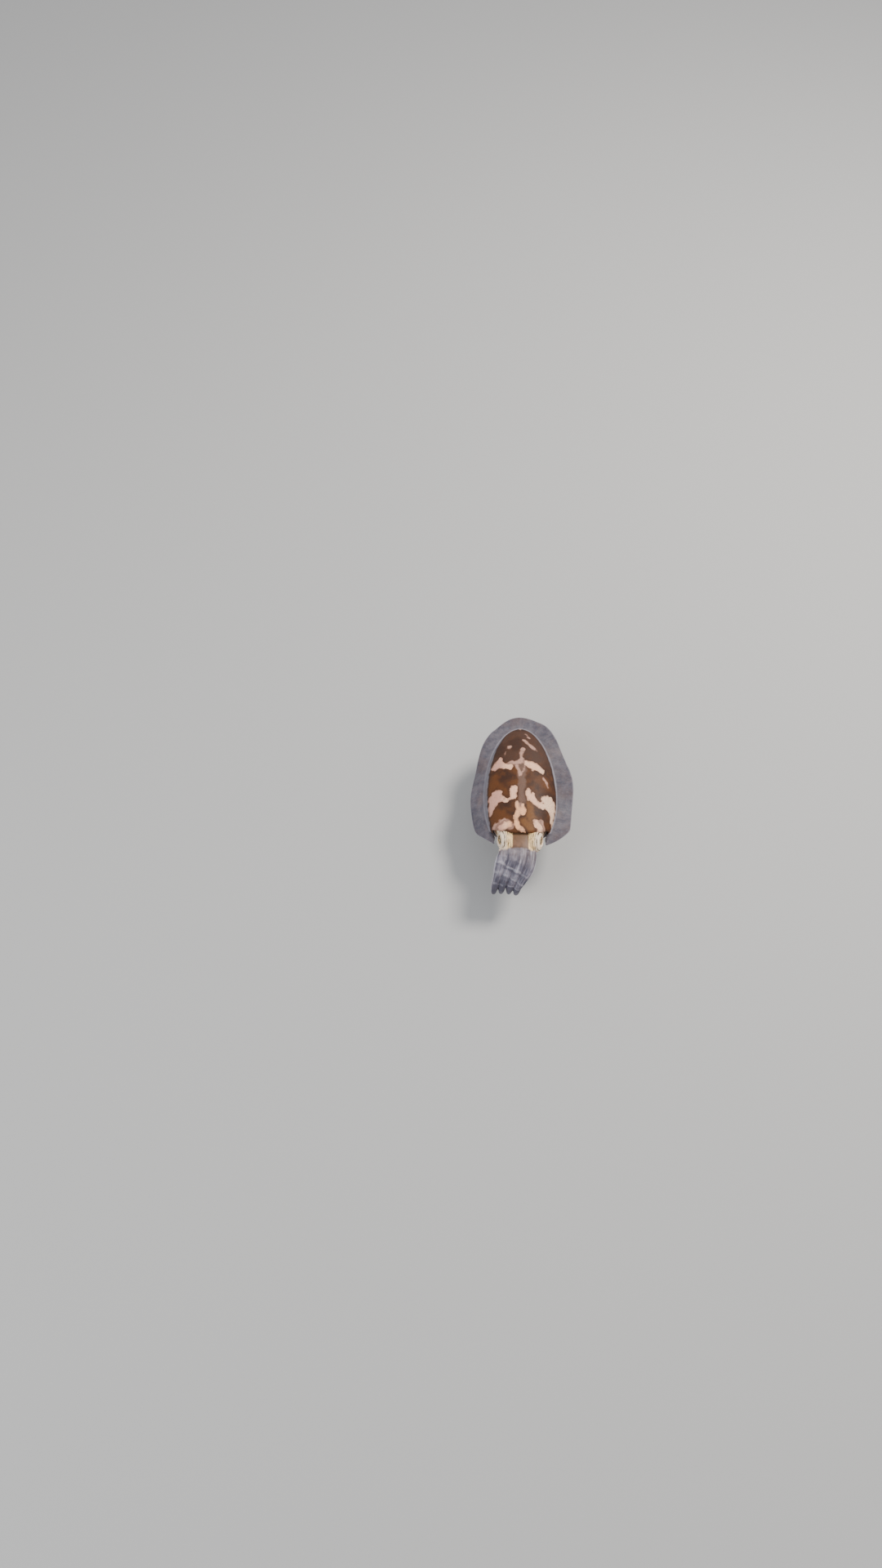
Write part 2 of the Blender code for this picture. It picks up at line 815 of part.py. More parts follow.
def build():
    clear_scene()
    skin = finish_of("mantle_skin", (0.22, 0.10, 0.055), 0.35)
    head_skin = finish_of("head_skin", (0.42, 0.30, 0.22), 0.35)
    arm_skin = finish_of("arm_skin", (0.40, 0.37, 0.41), 0.35)
    fin_skin = finish_of("fin_membrane", (0.30, 0.28, 0.33), 0.30)
    eye_surface = finish_of("eye_surface", (0.62, 0.50, 0.28), 0.10)
    beak_horn = finish_of("mouth_flesh", (0.35, 0.26, 0.24), 0.40)
    plate_paint = finish_of("plate_paint", (0.72, 0.71, 0.69), 0.45)
    rod_steel = finish_of("rod_steel", (0.60, 0.60, 0.60), 0.30, 1.0)

    mantle = make_mantle(skin)
    for side in (1, -1):
        make_fin(side, mantle, fin_skin)
    make_rod("stand_rod_front", ROD_MIDDLE_Y - ROD_SPACING / 2, mantle, rod_steel)
    make_rod("stand_rod_back", ROD_MIDDLE_Y + ROD_SPACING / 2, mantle, rod_steel)

    head = make_head(head_skin)
    raise_the_orbits(head)
    combine(mantle, "DIFFERENCE", [grown(head, GAP)])
    open_the_sockets(head)
    for name, side in (("eye_left", 1), ("eye_right", -1)):
        ball(name, eye_centre(side), EYE_RADIUS, eye_surface)
    make_mouth(beak_horn)
    funnel = make_funnel(head_skin)
    combine(head, "DIFFERENCE", [grown(funnel, GAP)])
    combine(mantle, "DIFFERENCE", [grown(funnel, GAP)])

    make_arms(arm_skin)
    make_base(plate_paint)


build()
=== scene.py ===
"""A still, life-size museum model of a cuttlefish on its display stand.

Metres, +Z up. The animal faces -Y, so its left side is +X.
"""

import bpy
import bmesh
import math
import numpy as np
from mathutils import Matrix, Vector
from mathutils.bvhtree import BVHTree
from mathutils.kdtree import KDTree


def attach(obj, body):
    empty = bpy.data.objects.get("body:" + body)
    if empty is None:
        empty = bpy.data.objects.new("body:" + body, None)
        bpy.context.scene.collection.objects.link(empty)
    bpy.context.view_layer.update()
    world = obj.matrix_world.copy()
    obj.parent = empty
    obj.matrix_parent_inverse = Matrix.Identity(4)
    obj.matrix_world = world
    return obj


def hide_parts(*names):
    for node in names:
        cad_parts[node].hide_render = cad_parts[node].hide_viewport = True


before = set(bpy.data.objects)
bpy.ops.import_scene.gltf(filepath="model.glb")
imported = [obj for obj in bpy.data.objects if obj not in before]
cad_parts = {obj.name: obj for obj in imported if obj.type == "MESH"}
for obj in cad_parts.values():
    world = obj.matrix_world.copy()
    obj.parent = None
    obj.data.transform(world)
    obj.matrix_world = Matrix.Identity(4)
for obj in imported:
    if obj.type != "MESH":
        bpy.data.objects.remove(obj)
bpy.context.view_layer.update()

# Camera, floor and light
# The camera stands in front of the animal and looks steeply down on it, so that the
# animal keeps its small place in a tall frame. The floor and the light are plain.

CAMERA_PLACE = (-0.0788, -0.8857, 1.5492)
CAMERA_TURN = -2.05  # degrees aside
CAMERA_DIP = 58.80  # degrees below level
SENSOR_SIZE = 36.0
FRAME_HEIGHT_PIXELS = 1920
FOCAL_PIXELS = 1507.0
LIGHT_TARGET = (0, 0, 0.07)
SKY_COLOUR = (0.93, 0.95, 1.0, 1.0)
SKY_STRENGTH = 0.71
FLOOR_SIZE = 60
FLOOR_ROUGHNESS = 0.85

camera_data = bpy.data.cameras.new("photo_camera")
camera_data.sensor_width = SENSOR_SIZE
camera_data.lens = SENSOR_SIZE * FOCAL_PIXELS / FRAME_HEIGHT_PIXELS
camera = bpy.data.objects.new("photo_camera", camera_data)
camera.location = CAMERA_PLACE
camera.rotation_euler = (math.radians(90 - CAMERA_DIP), 0, -math.radians(CAMERA_TURN))
bpy.context.scene.collection.objects.link(camera)
bpy.context.scene.camera = camera


def linear(red, green, blue):
    """A colour as eyes see it, 0 to 255, as the shader's linear numbers."""
    return tuple(
        part / 12.92 if part <= 0.04045 else ((part + 0.055) / 1.055) ** 2.4
        for part in (red / 255, green / 255, blue / 255)
    )


def add_area_light(name, place, size, power, colour):
    data = bpy.data.lights.new(name, "AREA")
    data.shape = "DISK"
    data.size = size
    data.energy = power
    data.color = colour
    light = bpy.data.objects.new(name, data)
    light.location = place
    aim = Vector(LIGHT_TARGET) - Vector(place)
    light.rotation_euler = aim.to_track_quat("-Z", "Y").to_euler()
    bpy.context.scene.collection.objects.link(light)


add_area_light("sun_side", (1.3, 0.9, 2.2), 0.9, 80, (1.0, 0.965, 0.91))
add_area_light("fill_side", (-1.8, -1.2, 1.6), 1.8, 29, (0.90, 0.95, 1.0))

world = bpy.data.worlds.new("studio")
bpy.context.scene.world = world
world.use_nodes = True
sky = world.node_tree.nodes["Background"]
sky.inputs["Color"].default_value = SKY_COLOUR
sky.inputs["Strength"].default_value = SKY_STRENGTH

bpy.ops.mesh.primitive_plane_add(size=FLOOR_SIZE)
floor = bpy.context.object
floor.name = "studio_floor"
floor_paint = bpy.data.materials.new("studio_floor")
floor_paint.use_nodes = True
floor_shader = floor_paint.node_tree.nodes["Principled BSDF"]
floor_shader.inputs["Base Color"].default_value = (*linear(183, 182, 180), 1.0)
floor_shader.inputs["Roughness"].default_value = FLOOR_ROUGHNESS
floor.data.materials.append(floor_paint)

# Mantle and fins
# The body is a long oval bag, domed above and flatter below, open in front round the
# neck. One thin skirt of fin grows from its margin all the way round the tail. Both
# are one moist skin, brown with pinkish patches on the back and pale underneath.

MANTLE_LENGTH = 0.170
MANTLE_WIDTH = 0.099
MANTLE_RISE = 0.028
MANTLE_DROP = 0.021
MARGIN_HEIGHT = 0.074
TAIL_Y = 0.100
TAIL_LIFT = 0.003
MANTLE_SQUARENESS = 2.15
# Where along the length the width, rise and drop are largest, how round they swell up
# from the tail, and how much and how late they fall off towards the front
WIDTH_CURVE = (0.66, 0.53, 0.18, 2.2)
RISE_CURVE = (0.60, 0.56, 0.22, 2)
DROP_CURVE = (0.55, 0.60, 0.10, 2)
# The free edge: a lobe over the neck, rounded corners at the sides, a notch below
LOBE_REACH = 0.007
CORNER_RETREAT = 0.0045
VENTRAL_NOTCH = 0.005
EDGE_ROUNDING = 0.0014
FREE_EDGE_FROM = 0.74
COLLAR_DEPTH = 0.013
COLLAR_OVAL = (0.0375, 0.0182, 0.0158)
HEAD_SQUARENESS = 2.25
MANTLE_SIDES = 144
MANTLE_STATIONS = 96
# Fins: 1 is the animal's left side and -1 its right
FIN_WIDTH = {1: 0.0240, -1: 0.0182}
TAIL_FIN_WIDTH = 0.0205
FIN_ROOT_THICKNESS = 0.0034
FIN_EDGE_THICKNESS = 0.0007
FIN_FRONT_AT = 1.085
FIN_ROOT_DEPTH = 0.0030
FIN_FRONT_SHARE = 0.145
FIN_FRONT_NARROWING = 0.93
FIN_WAVES = 2.6
FIN_WAVE_HEIGHT = 0.0036
FIN_RUFFLES = (9.3, 14.9)
FIN_RUFFLE_HEIGHT = 0.00035
FIN_TILT = {1: 0.0005, -1: -0.0120}
FIN_TAIL_LIFT = 0.0015
FIN_PHASE = {1: 0.4, -1: 2.3}
FIN_LINE_STEPS = 400
FIN_STATIONS = 190
# Shares of the width at which the fin has points, closer together near its root
FIN_ACROSS = [(i / 13) ** 1.15 for i in range(14)]
FILLET_REACH = 0.0022
FILLET_HEIGHT = 0.001
FILLET_HALF_HEIGHT = 0.0065


def smooth(share):
    """A gentle step from 0 to 1 while share goes from 0 to 1."""
    share = min(1.0, max(0.0, share))
    return share * share * (3 - 2 * share)


def between(low, high, share):
    return low + (high - low) * share


def turns(count):
    """Even turns once round, in radians."""
    return [math.tau * i / count for i in range(count)]


def signed_power(value, power):
    return math.copysign(abs(value) ** power, value)


def select_nothing():
    for obj in bpy.context.selected_objects:
        obj.select_set(False)


def turn_faces_out(obj):
    bpy.context.view_layer.objects.active = obj
    bpy.ops.object.mode_set(mode="EDIT")
    bpy.ops.mesh.select_all(action="SELECT")
    bpy.ops.mesh.normals_make_consistent(inside=False)
    bpy.ops.object.mode_set(mode="OBJECT")


def vertex_places(obj):
    places = np.empty(len(obj.data.vertices) * 3)
    obj.data.vertices.foreach_get("co", places)
    return places.reshape(-1, 3)


def form_from_ball(name, rings, start=None, end=None):
    """Adds a round primitive and draws its rings of points out to the given rings,
    with its poles on start and end, or else on the middles of the end rings."""
    segments = len(rings[0])
    select_nothing()
    bpy.ops.mesh.primitive_uv_sphere_add(segments=segments, ring_count=len(rings) + 1, radius=1)
    obj = bpy.context.object
    obj.name = name
    grid = np.array([[tuple(point) for point in ring] for ring in rings])
    start = grid[0].mean(axis=0) if start is None else np.array(start)
    end = grid[-1].mean(axis=0) if end is None else np.array(end)
    x, y, z = vertex_places(obj).T
    ring_of = np.arccos(np.clip(z, -1, 1)) / math.pi * (len(rings) + 1)
    ring_of = np.rint(ring_of).astype(int)
    turn_of = np.rint(np.arctan2(y, x) / math.tau * segments).astype(int) % segments
    shaped = grid[np.clip(ring_of - 1, 0, len(rings) - 1), turn_of]
    shaped[ring_of == 0] = start
    shaped[ring_of == len(rings) + 1] = end
    obj.data.vertices.foreach_set("co", shaped.ravel())
    turn_faces_out(obj)
    return obj


def apply_modifiers(obj):
    select_nothing()
    obj.select_set(True)
    bpy.context.view_layer.objects.active = obj
    for modifier in list(obj.modifiers):
        bpy.ops.object.modifier_apply(modifier=modifier.name)


def combine(obj, other, operation):
    """Joins other to obj, or cuts it away, and removes it."""
    modifier = obj.modifiers.new("combine", "BOOLEAN")
    modifier.operation = operation
    modifier.object = other
    modifier.solver = "MANIFOLD"
    apply_modifiers(obj)
    bpy.data.objects.remove(other)


def section(half_width, rise, drop, squareness, sides):
    """Points (x, z, angle) round a soft oval, flatter below than above."""
    points = []
    for angle in turns(sides):
        across, up = math.cos(angle), math.sin(angle)
        x = half_width * signed_power(across, 2 / squareness)
        z = (rise if up > 0 else drop) * signed_power(up, 2 / squareness)
        points.append((x, z, angle))
    return points


def body_curve(t, largest_at, roundness, fall, lateness):
    """Share of the full size at share t of the length, from the tail's tip forward."""
    if t < largest_at:
        return (1 - (1 - t / largest_at) ** 2) ** roundness
    return 1 - fall * ((t - largest_at) / (1 - largest_at)) ** lateness


def mantle_half_width(t):
    return body_curve(t, *WIDTH_CURVE) * MANTLE_WIDTH / 2


def margin_height(t):
    return MARGIN_HEIGHT + TAIL_LIFT * (1 - t) ** 2


def along_body(t):
    return TAIL_Y - MANTLE_LENGTH * t


def edge_shift(angle, t):
    """How far back the free edge lies, at an angle round the body."""
    up = math.sin(angle)
    lobe = LOBE_REACH * max(0.0, up) ** 2.5
    corner = CORNER_RETREAT * math.cos(angle) ** 4
    notch = VENTRAL_NOTCH * max(0.0, -up) ** 3
    return (notch + corner - lobe) * smooth((t - FREE_EDGE_FROM) / (1 - FREE_EDGE_FROM))


def mantle_ring(t):
    outline = section(
        mantle_half_width(t),
        MANTLE_RISE * body_curve(t, *RISE_CURVE),
        MANTLE_DROP * body_curve(t, *DROP_CURVE),
        MANTLE_SQUARENESS,
        MANTLE_SIDES,
    )
    return [
        Vector((x, along_body(t) + edge_shift(angle, t), margin_height(t) + z))
        for x, z, angle in outline
    ]


def collar_ring(y, follow_edge):
    """A ring of the hollow that the neck sits in."""
    outline = section(*COLLAR_OVAL, HEAD_SQUARENESS, MANTLE_SIDES)
    return [
        Vector((x, y + (edge_shift(angle, 1.0) if follow_edge else 0.0), MARGIN_HEIGHT + z))
        for x, z, angle in outline
    ]


def make_mantle():
    """The bag, from the tail's tip to the free edge and into the collar's hollow."""
    # Stations stand close together at the blunt tail
    shares = [
        1 - math.cos(math.pi / 2 * (i + 0.4) / (MANTLE_STATIONS + 0.4))
        for i in range(MANTLE_STATIONS + 1)
    ]
    rings = [mantle_ring(t) for t in shares]
    front = along_body(1.0)
    inner = collar_ring(front, True)
    back = collar_ring(front + COLLAR_DEPTH, False)
    # A rounded lip joins the outside to the hollow
    for turn in (0.18, 0.38, 0.62, 0.82, 1.0):
        bulge = Vector((0, -EDGE_ROUNDING * math.sin(math.pi * turn), 0))
        rings.append([a.lerp(b, turn) + bulge for a, b in zip(rings[MANTLE_STATIONS], inner)])
    for depth in (0.3, 0.65, 1.0):
        rings.append([a.lerp(b, depth) for a, b in zip(inner, back)])
    return form_from_ball("mantle_and_fins", rings, start=(0, TAIL_Y, margin_height(0)))


def fin_line():
    """Mantle share, root point and outward direction at even steps along one side,
    from the front of the fin to the middle of the tail."""
    fine = np.linspace(math.sqrt(FIN_FRONT_AT), 0.0, FIN_LINE_STEPS) ** 2
    root = np.array([(mantle_half_width(t), along_body(t)) for t in fine])
    along = np.gradient(root, axis=0)
    along /= np.linalg.norm(along, axis=1)[:, None]
    outward = np.stack([along[:, 1], -along[:, 0]], axis=1)
    outward[-1] = (0.0, 1.0)
    halfway = root + outward * TAIL_FIN_WIDTH / 2
    steps = np.linalg.norm(np.diff(halfway, axis=0), axis=1)
    travelled = np.concatenate([[0.0], np.cumsum(steps)])
    even_steps = np.linspace(0, travelled[-1], FIN_STATIONS)
    numbers = np.arange(len(fine))
    index = np.interp(even_steps, travelled, numbers)
    shares, root_x, root_y, out_x, out_y = (
        np.interp(index, numbers, values) for values in (fine, *root.T, *outward.T)
    )
    outward = np.stack([out_x, out_y], axis=1)
    outward /= np.linalg.norm(outward, axis=1)[:, None]
    return zip(shares, np.stack([root_x, root_y], axis=1), outward)


def fin_width(side, share):
    """The width at a share of the fin's line; it narrows to its free front end."""
    even = between(FIN_WIDTH[side], TAIL_FIN_WIDTH, smooth((share - 0.55) / 0.45))
    front = (1 - min(share / FIN_FRONT_SHARE, 1.0)) ** 1.4
    return even * (1 - FIN_FRONT_NARROWING * front)


def fin_rows(side):
    """The fin's middle surface on one side, one row of points for each station."""
    rows = []
    for i, (t, root, outward) in enumerate(fin_line()):
        share = i / (FIN_STATIONS - 1)
        # Waves and the small ruffles on them die out at the front and at the tail
        swell = smooth(share / 0.14) * smooth((1 - share) / 0.16)
        wave = math.sin(math.tau * FIN_WAVES * share + FIN_PHASE[side]) * swell
        ruffle = math.sin(math.tau * FIN_RUFFLES[0] * share + 1.7 * side)
        ruffle += 0.6 * math.sin(math.tau * FIN_RUFFLES[1] * share + 0.6)
        ruffle *= FIN_RUFFLE_HEIGHT * swell
        tilt = between(FIN_TILT[side], FIN_TAIL_LIFT, smooth((share - 0.45) / 0.5))
        tilt *= smooth(share / 0.2)
        width = fin_width(side, share)
        row = []
        for across in FIN_ACROSS:
            reach = across * width * (1 + 0.05 * wave)
            if across == 0:
                # The free front end is drawn out to a point
                reach -= FIN_ROOT_DEPTH * (1.5 * smooth(share / 0.04) - 0.5 * smooth(share / 0.1))
            height = tilt * across ** 1.5 + FIN_WAVE_HEIGHT * wave * across ** 1.4
            height += ruffle * across ** 3
            x, y = root + outward * reach
            row.append(Vector((side * max(x, 0.0), y, margin_height(t) + height)))
        rows.append(row)
    return rows


def make_fins(rows):
    """Gives the rows of the flap its thickness, and a thin rounded rim."""
    rings = []
    for i, row in enumerate(rows):
        before, after = rows[max(i - 1, 0)], rows[min(i + 1, len(rows) - 1)]
        upper, lower = [], []
        for j, point in enumerate(row):
            out = row[min(j + 1, len(row) - 1)] - row[max(j - 1, 0)]
            normal = (after[j] - before[j]).cross(out).normalized()
            if normal.z < 0:
                normal.negate()
            thickness = between(FIN_ROOT_THICKNESS, FIN_EDGE_THICKNESS, FIN_ACROSS[j] ** 0.7)
            # The front ends thin out, where they run on past the mantle
            from_front = min(i, len(rows) - 1 - i) / (FIN_STATIONS - 1)
            thickness *= 0.35 + 0.65 * smooth(from_front / 0.10)
            upper.append(point + normal * thickness / 2)
            lower.append(point - normal * thickness / 2)
        rim = row[-1] + (row[-1] - row[-2]).normalized() * FIN_EDGE_THICKNESS * 0.4
        rings.append(upper + [rim] + lower[::-1])
    return form_from_ball("fins", rings)


# Pale patches of the back: their tone, then points along each patch as the share of the
# half width, the share of the length from the tail, and the radius in mm
PALE_PATCHES = (
    ("faint", (-0.10, -0.01, 1.2), (0.00, 0.04, 1.2)),
    ("faint", (0.30, 0.09, 1.4), (0.40, 0.14, 1.5)),
    ("faint", (0.10, 0.17, 1.6), (0.31, 0.215, 2.8), (0.44, 0.25, 2.5), (0.56, 0.28, 1.0)),
    ("faint", (-0.42, 0.245, 3.4), (-0.43, 0.26, 2.4)),
    ("faint", (-0.52, 0.29, 0.8), (-0.55, 0.34, 1.2)),
    ("faint", (0.05, 0.275, 3.0), (0.02, 0.32, 2.0), (-0.01, 0.40, 3.0)),
    ("bright", (-0.76, 0.45, 4.6), (-0.66, 0.415, 7.0), (-0.60, 0.43, 6.0)),
    ("bright", (-0.66, 0.36, 2.4), (-0.62, 0.39, 3.4)),
    ("bright", (-0.50, 0.445, 4.6), (-0.33, 0.455, 4.6)),
    ("faint", (-0.38, 0.43, 4.2), (-0.12, 0.41, 3.6), (0.08, 0.41, 3.6)),
    ("bright", (0.19, 0.42, 4.8), (0.38, 0.447, 6.6), (0.56, 0.470, 5.0)),
    ("bright", (0.62, 0.49, 2.2), (0.63, 0.50, 1.4)),
    ("faint", (0.62, 0.54, 1.0), (0.70, 0.575, 1.7), (0.77, 0.62, 1.0)),
    ("faint", (-0.16, 0.44, 2.2), (-0.07, 0.49, 2.4), (-0.02, 0.53, 2.0)),
    ("faint", (0.11, 0.44, 1.8), (0.06, 0.50, 1.8)),
    ("stripe", (0.00, 0.44, 9.0), (0.02, 0.50, 6.6), (0.02, 0.57, 5.2), (0.02, 0.80, 5.6)),
    ("bright", (-0.21, 0.672, 5.2), (-0.21, 0.73, 5.4)),
    ("bright", (-0.24, 0.75, 2.6), (-0.37, 0.77, 2.6), (-0.48, 0.77, 3.0)),
    ("bright", (-0.67, 0.70, 6.8), (-0.73, 0.75, 8.8), (-0.82, 0.81, 5.2)),
    ("bright", (-0.58, 0.75, 5.6), (-0.68, 0.76, 6.0)),
    ("bright", (-0.84, 0.83, 3.6), (-0.89, 0.87, 2.2)),
    ("bright", (0.19, 0.685, 4.2), (0.27, 0.745, 5.4), (0.42, 0.785, 4.6), (0.62, 0.81, 4.8)),
    ("bright", (0.32, 0.700, 2.4), (0.34, 0.755, 4.0)),
    ("bright", (0.66, 0.735, 5.0), (0.78, 0.735, 6.4), (0.84, 0.79, 8.6), (0.91, 0.84, 5.0)),
    ("bright", (0.92, 0.74, 3.0), (0.93, 0.87, 2.8), (0.96, 0.93, 1.6)),
    ("faint", (-0.02, 0.815, 3.6), (-0.01, 0.885, 4.0)),
    ("bright", (0.07, 0.816, 2.8), (0.055, 0.850, 4.2), (0.05, 0.882, 4.0)),
    ("bright", (-0.13, 0.79, 2.0), (-0.11, 0.84, 3.0), (-0.10, 0.89, 3.4)),
    ("bright", (-0.10, 0.88, 3.4), (-0.16, 0.93, 3.2), (-0.15, 0.975, 3.6)),
    ("bright", (-0.15, 0.975, 3.6), (-0.05, 1.01, 3.6), (0.10, 1.035, 3.0)),
    ("faint", (-0.82, 0.985, 5.2), (-0.62, 0.99, 6.2)),
    ("faint", (-0.56, 0.965, 6.4), (-0.36, 0.99, 6.0)),
    ("bright", (-0.68, 0.992, 4.2), (-0.38, 0.982, 4.8)),
    ("faint", (0.62, 0.96, 6.0), (0.70, 1.01, 5.4)),
    ("bright", (0.50, 0.955, 4.8), (0.58, 0.985, 4.8), (0.66, 1.02, 4.4)),
    ("golden", (0.24, 0.79, 5.0), (0.27, 0.89, 6.2), (0.46, 0.96, 6.0)),
    ("golden", (0.10, 0.95, 5.0), (0.30, 1.00, 6.0)),
)
FAR_FROM_PATCH = 12.0


def distance_to_patch(points, patch):
    """Distance in mm from each (x, y) in metres to a patch's edge, negative inside."""
    spine = [
        (u * mantle_half_width(min(max(t, 0.02), 1.0)) * 1000, along_body(t) * 1000, radius)
        for u, t, radius in patch
    ]
    flat = points * 1000
    nearest = np.full(len(points), FAR_FROM_PATCH)
    for (ax, ay, ar), (bx, by, br) in zip(spine, spine[1:]):
        span = np.array([bx - ax, by - ay])
        offset = flat - np.array([ax, ay])
        share = np.clip(offset @ span / max(span @ span, 1e-9), 0, 1)
        gap = np.linalg.norm(offset - share[:, None] * span, axis=1)
        nearest = np.minimum(nearest, gap - (ar + (br - ar) * share))
    return nearest


def store(obj, name, values):
    """Keeps one number for each point of the mesh, for its material to read."""
    attribute = obj.data.attributes.new(name, "FLOAT", "POINT")
    attribute.data.foreach_set("value", np.ascontiguousarray(values, dtype=np.float32))


def nearest_index(points, places):
    """The index of the nearest point for each place."""
    tree = KDTree(len(points))
    for i, point in enumerate(points):
        tree.insert(point, i)
    tree.balance()
    return np.array([tree.find(place)[1] for place in places])


def inside_the_margin(places):
    """Distance in mm from the widest line of the mantle in towards its middle."""
    shares = np.clip((TAIL_Y - places[:, 1]) / MANTLE_LENGTH, 0.004, 1.0)
    half_width = np.array([mantle_half_width(t) for t in shares])
    return 1000 * (half_width - np.abs(places[:, 0]))


def fin_creep(places):
    """How far in mm the fin's grey creeps up the mantle, inside its widest line, at
    shares of the length on the animal's right and left."""
    along = (TAIL_Y - places[:, 1]) / MANTLE_LENGTH
    right = np.interp(along, (0.0, 0.15, 0.30, 0.80, 1.0), (0.4, 3.2, 4.0, 3.4, 1.4))
    left = np.interp(along, (0.0, 0.08, 0.30, 0.50, 0.65), (0.4, 4.0, 2.6, 1.2, -1.5))
    return np.where(places[:, 0] < 0, right, left)


mantle = make_mantle()
bare_mantle = BVHTree.FromPolygons(
    [tuple(vertex.co) for vertex in mantle.data.vertices],
    [tuple(face.vertices) for face in mantle.data.polygons],
)


def off_the_mantle(places):
    """Distance in metres from the mantle without its fins."""
    return np.array([bare_mantle.find_nearest(place)[3] for place in places])


# The fins are one flap round the whole tail: up one side and down the other
fin_flap = fin_rows(1) + fin_rows(-1)[-2::-1]
combine(mantle, make_fins(fin_flap), "UNION")

# The fin's root runs into the body in a soft fillet
places = vertex_places(mantle)
beside = off_the_mantle(places) < FILLET_REACH
level = np.abs(places[:, 2] - MARGIN_HEIGHT - FILLET_HEIGHT) < FILLET_HALF_HEIGHT
fillet = mantle.vertex_groups.new(name="fin_root")
fillet.add([int(i) for i in np.flatnonzero(beside & level)], 1.0, "REPLACE")
soften = mantle.modifiers.new("soften", "SMOOTH")
soften.vertex_group = "fin_root"
soften.factor = 0.5
soften.iterations = 6
apply_modifiers(mantle)

places = vertex_places(mantle)
fin_index = nearest_index([point for row in fin_flap for point in row], places)
store(mantle, "off_mantle", off_the_mantle(places) * 1000)
store(mantle, "inward", np.clip(inside_the_margin(places), -5, 30))
store(mantle, "fin_creep", fin_creep(places))
store(mantle, "fin_across", np.array(FIN_ACROSS)[fin_index % len(FIN_ACROSS)])
store(mantle, "fin_along", fin_index // len(FIN_ACROSS) / (len(fin_flap) - 1))
for kind in ("bright", "faint", "stripe", "golden"):
    fields = [
        distance_to_patch(places[:, :2], patch)
        for tone, *patch in PALE_PATCHES
        if tone == kind
    ]
    store(mantle, kind, np.min(fields, axis=0))


class Value:
    """A shader socket that sums and products can be written with."""

    def __init__(self, tree, socket):
        self.tree = tree
        self.socket = socket

    def make(self, kind, settings=(), inputs=(), output=0):
        """Any node: its settings come first, then its sockets' numbers or links."""
        node = self.tree.nodes.new(kind)
        for name, value in dict(settings).items():
            setattr(node, name, value)
        for name, value in dict(inputs).items():
            if isinstance(value, Value):
                self.tree.links.new(value.socket, node.inputs[name])
            else:
                node.inputs[name].default_value = value
        return Value(self.tree, node.outputs[output])

    def maths(self, operation, *others):
        """A maths node whose first number is this one."""
        return self.make("ShaderNodeMath", {"operation": operation}, enumerate((self, *others)))

    def __add__(self, other):
        return self.maths("ADD", other)

    def __sub__(self, other):
        return self.maths("SUBTRACT", other)

    def __rsub__(self, other):
        return self.maths("MULTIPLY_ADD", -1.0, other)

    def __mul__(self, other):
        return self.maths("MULTIPLY", other)

    def __truediv__(self, other):
        return self.maths("DIVIDE", other)

    __radd__ = __add__
    __rmul__ = __mul__

    def step(self, low, high):
        """0 below low and 1 above high, with a smooth rise between."""
        return self.make(
            "ShaderNodeMapRange",
            {"interpolation_type": "SMOOTHSTEP"},
            {"Value": self, "From Min": low, "From Max": high, "To Min": 0.0, "To Max": 1.0},
        )

    def mix(self, low, high):
        """From the colour low to the colour high, with this value as the share."""
        return self.make(
            "ShaderNodeMix",
            {"data_type": "RGBA"},
            {0: self, 6: opaque(low), 7: opaque(high)},
            output=2,
        )


def opaque(colour):
    return colour if isinstance(colour, Value) else (*colour, 1.0)


class Finish:
    """A material on the Principled shader, with the patterns that skins share."""

    def __init__(self, name, **constants):
        self.material = bpy.data.materials.new(name)
        self.material.use_nodes = True
        self.tree = self.material.node_tree
        self.shader = self.tree.nodes["Principled BSDF"]
        for socket, value in constants.items():
            self.shader.inputs[socket.replace("_", " ")].default_value = value
        self.anything = Value(self.tree, None)
        self.place = self.anything.make("ShaderNodeTexCoord", output=3)

    def attribute(self, name):
        return self.anything.make("ShaderNodeAttribute", {"attribute_name": name}, output=2)

    def along(self, axis):
        """Distance in metres along X, Y or Z."""
        return self.anything.make("ShaderNodeSeparateXYZ", {}, {0: self.place}, output=axis)

    def noise(self, grain, detail=2.0, roughness=0.5, place=None):
        """Cloudy values about 0.5 whose features are grain metres across, or grain
        units of another place."""
        return self.anything.make(
            "ShaderNodeTexNoise",
            {},
            {
                "Vector": place or self.place,
                "Scale": 1.0 / grain,
                "Detail": detail,
                "Roughness": roughness,
            },
        )

    def speckles(self, grain, fullness):
        """Small round pigment spots about grain metres apart: 1 inside a spot."""
        from_spot = self.anything.make(
            "ShaderNodeTexVoronoi", {}, {"Vector": self.place, "Scale": 1.0 / grain}
        )
        return 1 - from_spot.step(fullness * 0.75, fullness)

    def feed(self, socket, value):
        self.tree.links.new(value.socket, self.shader.inputs[socket])

    def bumps(self, height, distance, strength):
        bump = self.anything.make(
            "ShaderNodeBump", {}, {"Strength": strength, "Distance": distance, "Height": height}
        )
        self.feed("Normal", bump)


BROWN_DARK = linear(58, 35, 24)
BROWN_RICH = linear(100, 59, 28)
BROWN_TAIL = linear(70, 49, 40)
BROWN_GOLD = linear(122, 80, 42)
PINKISH_GREY = linear(113, 88, 76)
PALE_FAINT = linear(204, 158, 138)
PALE_RIM = linear(164, 120, 98)
PALE_BRIGHT = linear(255, 198, 162)
# The darker rose of the patches on the animal's right is painted shade
PALE_ROSE_PAINTED_SHADE = linear(214, 160, 140)
PALE_CREAM = linear(250, 212, 178)
PALE_PEACH = linear(255, 186, 134)
BELLY_PALE = linear(174, 163, 162)
FIN_GREY = linear(106, 100, 106)
FIN_DARK = linear(68, 65, 76)
FIN_PALE = linear(156, 151, 158)


